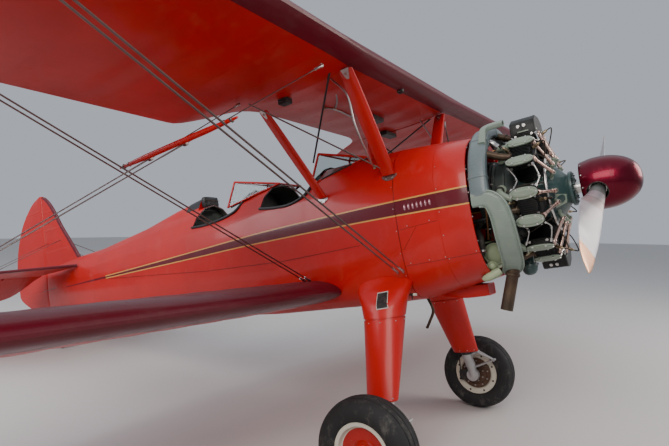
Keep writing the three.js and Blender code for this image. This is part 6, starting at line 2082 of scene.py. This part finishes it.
def pillow(low, high, lean=0.0, waist=0.10):
    """A box with rounded edges, its sides pulled in between the corners, leaning back."""
    (x0, y0, z0), (x1, y1, z1) = low, high
    rings = []
    for t in np.linspace(0, 1, 9):
        shrink, ring = 1 - 0.10 * abs(2 * t - 1) ** 3, []
        for c, s in turns(48):
            u, v = bent(c, 0.35), bent(s, 0.35)
            u, v = u * (1 - waist * (1 - v * v)), v * (1 - waist * 0.6 * (1 - u * u))
            ring.append(((x0 + x1) / 2 + (x1 - x0) / 2 * u * shrink + lean * t,
                         (y0 + y1) / 2 + (y1 - y0) / 2 * v * shrink, z0 + (z1 - z0) * t))
        rings.append(ring)
    return loft(rings)


webbing = Finish("webbing", (0.21, 0.185, 0.13), 0.75, scale=5.0).done(0.35, 0.2, grain=0.0008)
for word, x in (("front", -2.330), ("rear", -3.230)):
    outer, inner = (to_mesh("bucket", slab([(x + u, pan + v) for u, v in outline], -half, half))
                    for outline, half in ((bucket, bucket_half),
                                          (hollow, bucket_half - bucket_wall)))
    mount(f"{word}_seat_bucket", carved(outer, [inner]), board_paint, "cockpit_grey",
          replaces=f"{word}_seat")
    legs, belts, buckles = [], [], []
    for side in (-1, 1):
        legs += [tube([(x + along, side * 0.190, z) for z in (
            floor_top + 0.001, floor_top + 0.006, floor_top + 0.008, pan - 0.030)],
            [0.014, 0.014, 0.0125, 0.0125], 14) for along in (0.040, 0.320)]
        legs.append(tube(smooth_path([(x + u, side * (bucket_half - 0.004), pan + v)
                                      for u, v in bucket[1:5]], 5), 0.006))
        path = smooth_path([(x + u, side * y, pan + v) for u, y, v in (
            (0.050, 0.214, 0.120), (0.075, 0.200, 0.115), (0.120, 0.160, 0.080),
            (0.190, 0.100, 0.074), (0.230, 0.045, 0.076))], 6)
        belts.append(loft([[p + Vector((w, 0, h)) for w, h in (
            (-0.022, 0), (0.022, 0), (0.022, 0.0025), (-0.022, 0.0025))] for p in path]))
        buckles.append(rounded_box((x + 0.200, side * 0.045 - 0.018, pan + 0.0765),
                                   (x + 0.260, side * 0.045 + 0.018, pan + 0.0830), 0.005))
    mount(f"{word}_seat_frame", legs, board_paint, "cockpit_grey")
    for part, low, high, lean, fill in (
            ("cushion", (x + 0.040, -0.190, pan - 0.012), (x + 0.335, 0.190, pan + 0.055),
             0.0, 0.7),
            ("back_pad", (x + 0.010, -0.175, pan + 0.085), (x + 0.055, 0.175, pan + 0.340),
             -0.050, 0.6)):
        pad = mount(f"{word}_seat_{part}", stuffed(pillow(low, high, lean), 0.009, 0.007),
                    seat_leather, "leather", sharp=80)
    piping = [tube([(x + 0.1875 + 0.150 * bent(c, 0.4), 0.193 * bent(s, 0.4), z)
                    for c, s in turns(60)], 0.0035, 8, closed=True)
              for z in (pan + 0.004, pan + 0.046)]
    mount(f"{word}_seat_piping", piping, coaming_leather, "leather")
    mount(f"{word}_seat_belts", belts, webbing, "leather")
    mount(f"{word}_belt_buckles", buckles, steel, "bright_metal")

# Windscreens
# Three flat panes in a frame of red tubes in front of each cockpit, set in a rubber strip on the
# deck. The panes are clear plastic, a little scratched.

glazing = Finish("clear_plastic", (0.62, 0.70, 0.69))
scuff = glazing.math("MULTIPLY_ADD", glazing.shade["Scratches"], 0.12, 0.03)
glazing.feed([glazing.socket[k] for k in ("Transmission Weight", "IOR", "Base Color", "Roughness")],
             1.0, 1.30, glazing.colour, scuff)
glazing = glazing.material


def thick_pane(ring, half=0.0018, inset=0.004):
    middle = sum(ring, Vector()) / len(ring)
    normal = (ring[1] - ring[0]).cross(ring[2] - ring[0]).normalized() * half
    drawn = [p + (middle - p).normalized() * inset for p in ring]
    return loft([[p + normal for p in drawn], [p - normal for p in drawn]])


for word, corners in (
        ("front", [(-1.440, 0.150, 0.548), (-1.822, 0.235, 0.662), (-1.878, 0.318, 0.412)]),
        ("rear", [(-2.330, 0.150, 0.542), (-2.785, 0.225, 0.652), (-2.830, 0.300, 0.424)])):
    foot, top, rear = [[Vector((x, -y, z)), Vector((x, y, z))] for x, y, z in corners]
    panes = [thick_pane([foot[0], foot[1], top[1], top[0]])]
    bars, strip = [tube(top, 0.0095, 14), tube(foot, 0.0065, 14)], []
    for f, t, r, side in zip(foot, top, rear, (-1, 1)):
        panes.append(thick_pane([f, t, r]))
        bars += [tube([f, t], 0.0095, 14), tube([t, r], 0.0095, 14), tube([f, r], 0.0065, 14)]
        strip.append(tube([side_point(p.x, min(p.z, section_at(p.x)[1] - 0.002), side)
                           for p in (f.lerp(r, share) for share in np.linspace(0, 1, 14))], 0.006))
    bars += [tube([p + Vector((0, 0, h)) for h in (-0.007, -0.004, 0.004, 0.007)],
                  [0.004, 0.0102, 0.0102, 0.004], 14) for p in foot + top + rear]
    deck = to_mesh("deck", skin(corners[0][0] + 0.10, corners[2][0] - 0.10, 0.0006))
    mount(f"{word}_windscreen_panes", carved(to_mesh("panes", panes), [deck]), glazing, "glass",
          replaces=f"{word}_windscreen")
    mount(f"{word}_windscreen_frame", bars, plain_red, "red_paint")
    mount(f"{word}_windscreen_strip", strip, hose_rubber, "leather")

# Headrest
# A leather pad stuffed with hair, sewn to a plate at the front of the fairing, with a dark leather
# apron over the fairing's ridge behind it.

pad_shape = pillow((-3.3960, -0.100, 0.536), (-3.3370, 0.100, 0.646), -0.002, 0.06)
headrest_pad = mount("headrest_pad", stuffed(pad_shape, 0.006, 0.005), coaming_leather, "leather",
                     replaces="headrest", sharp=80)
mount("headrest_plate", rounded_box((-3.3990, -0.058, 0.520), (-3.3725, 0.058, 0.572), 0.006),
      coaming_leather, "leather")
mount("headrest_seam", tube([(-3.3335, -0.095, 0.607), (-3.3335, 0.095, 0.607)], 0.0028, 8),
      seat_leather, "leather")
apron = []
for x in np.linspace(-3.402, -3.600, 12):
    over = [Vector((x, y, ridge_height(x, y)))
            for y in np.linspace(-0.93, 0.93, 19) * looked_up(ridge_table, x)[1]]
    apron.append([p + Vector((0, 0, 0.0028)) for p in over]
                 + [p - Vector((0, 0, 0.002)) for p in over[::-1]])
mount("headrest_apron", loft(apron), coaming_leather, "leather")

# Cowl details
# The cowl panels meet in narrow lines and are held by small screws. Seven pressed louvers stand in
# the stripe, coloured pale pink as a painted highlight on their glossy maroon, and a dark latch bar
# with a white end sits below.

louver_spots = np.linspace(-1.052, -0.866, 7)
# A panel line's corners, as distances forward and up
panel_lines = [
    [(-1.126, 0.300), (-1.126, -0.300)], [(-1.126, -0.335), (-0.900, -0.330), (-0.560, -0.318)],
    [(-1.110, -0.085), (-0.835, -0.072)], [(-1.110, -0.225), (-0.990, -0.085)],
    [(-4.900, 0.028), (-3.100, -0.110), (-2.200, -0.150), (-1.450, -0.140)],
]
screw_columns = [(-0.600, -0.40, 0.40), (-0.811, -0.33, 0.42), (-1.140, -0.40, 0.40)]
sides = (-1, 1)


def on_skin(x, z, side, lift=0.0):
    return side_point(x, z, side) + side_facing(x, z, side) * lift


def skin_line(corners, half, lift, side):
    """A narrow raised line along the skin."""
    rings = []
    for (ax, az), (bx, bz) in zip(corners, corners[1:]):
        along = Vector((bx - ax, bz - az)).normalized() * half
        for t in np.linspace(0, 1, max(2, round(math.hypot(bx - ax, bz - az) / 0.04))):
            x, z = ax + (bx - ax) * t, az + (bz - az) * t
            rings.append([on_skin(x - along.y * k, z + along.x * k, side, high) for k, high in (
                (1, lift), (0, lift * 1.5), (-1, lift), (-1, -0.001), (1, -0.001))])
    return loft(rings)


def louver(x, z, side):
    """A pressed teardrop, round below and drawn to a point above."""
    rings = []
    for share, high in ((1.0, -0.001), (0.92, 0.0045), (0.62, 0.0095), (0.20, 0.0115)):
        rings.append([on_skin(x + 0.0095 * (1 - 0.55 * max(0.0, c)) * share * s,
                              z + 0.0225 * share * c, side, high) for c, s in turns(20)])
    return loft(rings)


seam_brown = Finish("seam_shadow", (0.100, 0.010, 0.008), 0.6).done(0.3, 0.2)
# The louvers are maroon like the stripe; this pale pink metallic colour is a painted highlight.
louver_highlight_paint = Finish("louver_painted_highlight", (0.52, 0.26, 0.30), 0.22, metallic=0.6, coat=0.5).done(
    0.2, 0.1)
mount("panel_lines", [skin_line(line, 0.0014, 0.0006, s) for s in sides for line in panel_lines],
      seam_brown, "red_paint", sharp=60)
mount("side_louvers", [louver(x, 0.058, s) for s in sides for x in louver_spots], louver_highlight_paint,
      "bright_metal", sharp=50)
joint_screws = [(x, z) for x, low, high in screw_columns for z in np.arange(low, high, 0.155)]
line_screws = [(ax + (bx - ax) * t, az + (bz - az) * t + 0.014) for line in panel_lines[1:3]
               for (ax, az), (bx, bz) in zip(line, line[1:]) for t in (0.2, 0.8)]
cowl_screws = [(on_skin(x, z, s), side_facing(x, z, s)) for spots in (joint_screws, line_screws)
               for s in sides for x, z in spots]
heads("cowl_screws", cowl_screws, 0.0040, 0.0016, steel, sides=10)

latches, latch_ends = [], []
for s in sides:
    latches += [tube([(-1.175, s * 0.418, -0.523), (-1.170, s * 0.420, -0.523),
                      (-1.098, s * 0.420, -0.531)], 0.0080, 12),
                tube([(-1.112, s * 0.420, z) for z in (-0.528, -0.562)], 0.0042, 8)]
    latch_ends.append(tube([(-1.099, s * 0.420, -0.531), (-1.076, s * 0.420, -0.5335)], 0.0095, 12))
mount("latch_bars", latches, gear_black, "cylinder_black")
mount("latch_ends", latch_ends, wheel_cream, "bright_metal")
drain = smooth_path([(-1.196, 0, -0.575), (-1.163, 0, -0.684), (-1.200, 0, -0.760),
                     (-1.235, 0, -0.813)], 5)
mount("belly_drain", tube(drain, 0.0105, 12), burnt, "burnt_steel")

# Centre section fittings
# The fuel tank's silver lines run under the centre section and down behind the front struts,
# beside two dark stays and two crossed wires. Small gauges and a drain hang below the tank.

silver_lines = [
    [(-1.611, 0.029, 0.960), (-1.593, -0.240, 0.961), (-1.616, -0.360, 0.960)],
    [(-1.290, -0.756, 0.985), (-1.450, -0.436, 0.969), (-1.571, -0.280, 0.962)],
    [(-1.290, -0.756, 0.985), (-1.140, -0.830, 0.800), (-1.131, -0.800, 0.601),
     (-1.197, -0.550, 0.416), (-1.225, -0.450, 0.380)],
    [(-1.319, 0.764, 0.982), (-1.240, 0.765, 0.800), (-1.150, 0.751, 0.640),
     (-1.190, 0.480, 0.380)],
]
mount("fuel_lines", [tube(smooth_path(line, 6), 0.0066) for line in silver_lines], steel,
      "bright_metal")
mount("centre_stays", [tube([(-1.227, s * 0.845, 0.994), (-1.770, s * 0.400, 0.560)], 0.0070)
                       for s in sides], gear_black, "cylinder_black")
mount("centre_wires", [flat_wire((-1.165, s * 0.400, 0.345), (-1.883, s * 0.930, 0.955))
                       for s in sides], wire_steel, "steel_wire")
gauges = [rounded_box(low, high) for low, high in (
    ((-1.560, 0.150, 0.930), (-1.470, 0.330, 0.972)),
    ((-1.720, 0.690, 0.930), (-1.640, 0.905, 0.968)),
    ((-1.725, -0.800, 0.925), (-1.645, -0.730, 0.965)))]
gauges.append(tube([(-1.105, -0.062, z) for z in (1.020, 0.985, 0.975)], [0.030, 0.026, 0.015], 20))
mount("tank_gauges", gauges, gear_black, "cylinder_black")
line_ends = [tube([Vector(line[k]) + Vector((0, 0, h)) for h in (-0.010, 0.012)], 0.0105, 6)
             for line in silver_lines for k in (0, -1)]
mount("line_unions", line_ends, brass, "bright_metal")

# Tail details
# Two wires brace the fin to the stabilizer on each side, and steel cables run aft under the
# stabilizer to the rudder.

braces = [flat_wire((start, s * 0.020, 0.680), (end, s * 0.880, stabilizer_height + 0.016))
          for s in sides for start, end in ((-6.190, -6.110), (-6.500, -6.440))]
mount("fin_braces", braces, wire_steel, "steel_wire")
cables = [tube([(-5.600, s * 0.100, 0.085), (-6.400, s * 0.085, 0.060), (-6.620, s * 0.075, 0.050)],
               0.0032, 8) for s in sides]
mount("rudder_cables", cables, wire_steel, "steel_wire")

# Studio
# A plain pale floor and backdrop, soft light from large panels, and the photograph's viewpoint.

floor_paint = bpy.data.materials.new("studio_floor")
floor_paint.use_nodes = True
floor_sockets = floor_paint.node_tree.nodes["Principled BSDF"].inputs
floor_sockets["Base Color"].default_value = (0.55, 0.535, 0.52, 1)
floor_sockets["Roughness"].default_value = 0.75
bpy.ops.mesh.primitive_plane_add(size=120, location=(0, 0, 0))
floor = bpy.context.object
floor.name = "studio_floor"
floor.data.materials.append(floor_paint)

world = bpy.data.worlds.new("studio")
bpy.context.scene.world = world
world.use_nodes = True
sky = world.node_tree.nodes["Background"].inputs
sky["Color"].default_value = (0.80, 0.85, 0.95, 1)
sky["Strength"].default_value = 0.55

# place, aimed at, width, height, power, colour
lamps = [
    ((3.5, -9.0, 7.0), (0.5, 0, 1.4), 7.0, 5.0, 900, (1.0, 0.93, 0.86)),
    ((-6.0, -7.0, 6.0), (-1.0, 0, 1.2), 6.0, 4.0, 420, (0.95, 0.95, 1.0)),
    ((9.0, 5.0, 5.0), (2.0, 0, 1.5), 5.0, 4.0, 420, (1.0, 0.9, 0.82)),
    ((0.0, 0.0, 13.0), (0, 0, 0), 22.0, 22.0, 900, (0.92, 0.95, 1.0)),
]
for k, (place, aim, width, height, power, colour) in enumerate(lamps):
    lamp = bpy.data.lights.new(f"panel_{k}", "AREA")
    lamp.shape = "RECTANGLE"
    lamp.size, lamp.size_y = width, height
    lamp.energy = power
    lamp.color = colour
    light = scene_object(f"panel_{k}", lamp)
    light.location = place
    light.rotation_euler = (Vector(aim) - Vector(place)).to_track_quat("-Z", "Y").to_euler()

photo_view = bpy.data.cameras.new("photo_view")
photo_view.lens = 27.44
photo_view.sensor_width = 36.0
camera = scene_object("photo_view", photo_view)
yaw, pitch, roll = (math.radians(a) for a in (123.7176, 0.4478, 0.4121))
ahead = Vector((cos(yaw) * cos(pitch), sin(yaw) * cos(pitch), sin(pitch)))
right = Vector((sin(yaw), -cos(yaw), 0))
up = right.cross(ahead)
facing = Matrix((right * cos(roll) + up * sin(roll), up * cos(roll) - right * sin(roll),
                 -ahead)).transposed()
camera.matrix_world = Matrix.Translation(hub + Vector((0.4838, -3.5850, -0.2712))) @ facing.to_4x4()
bpy.context.scene.camera = camera
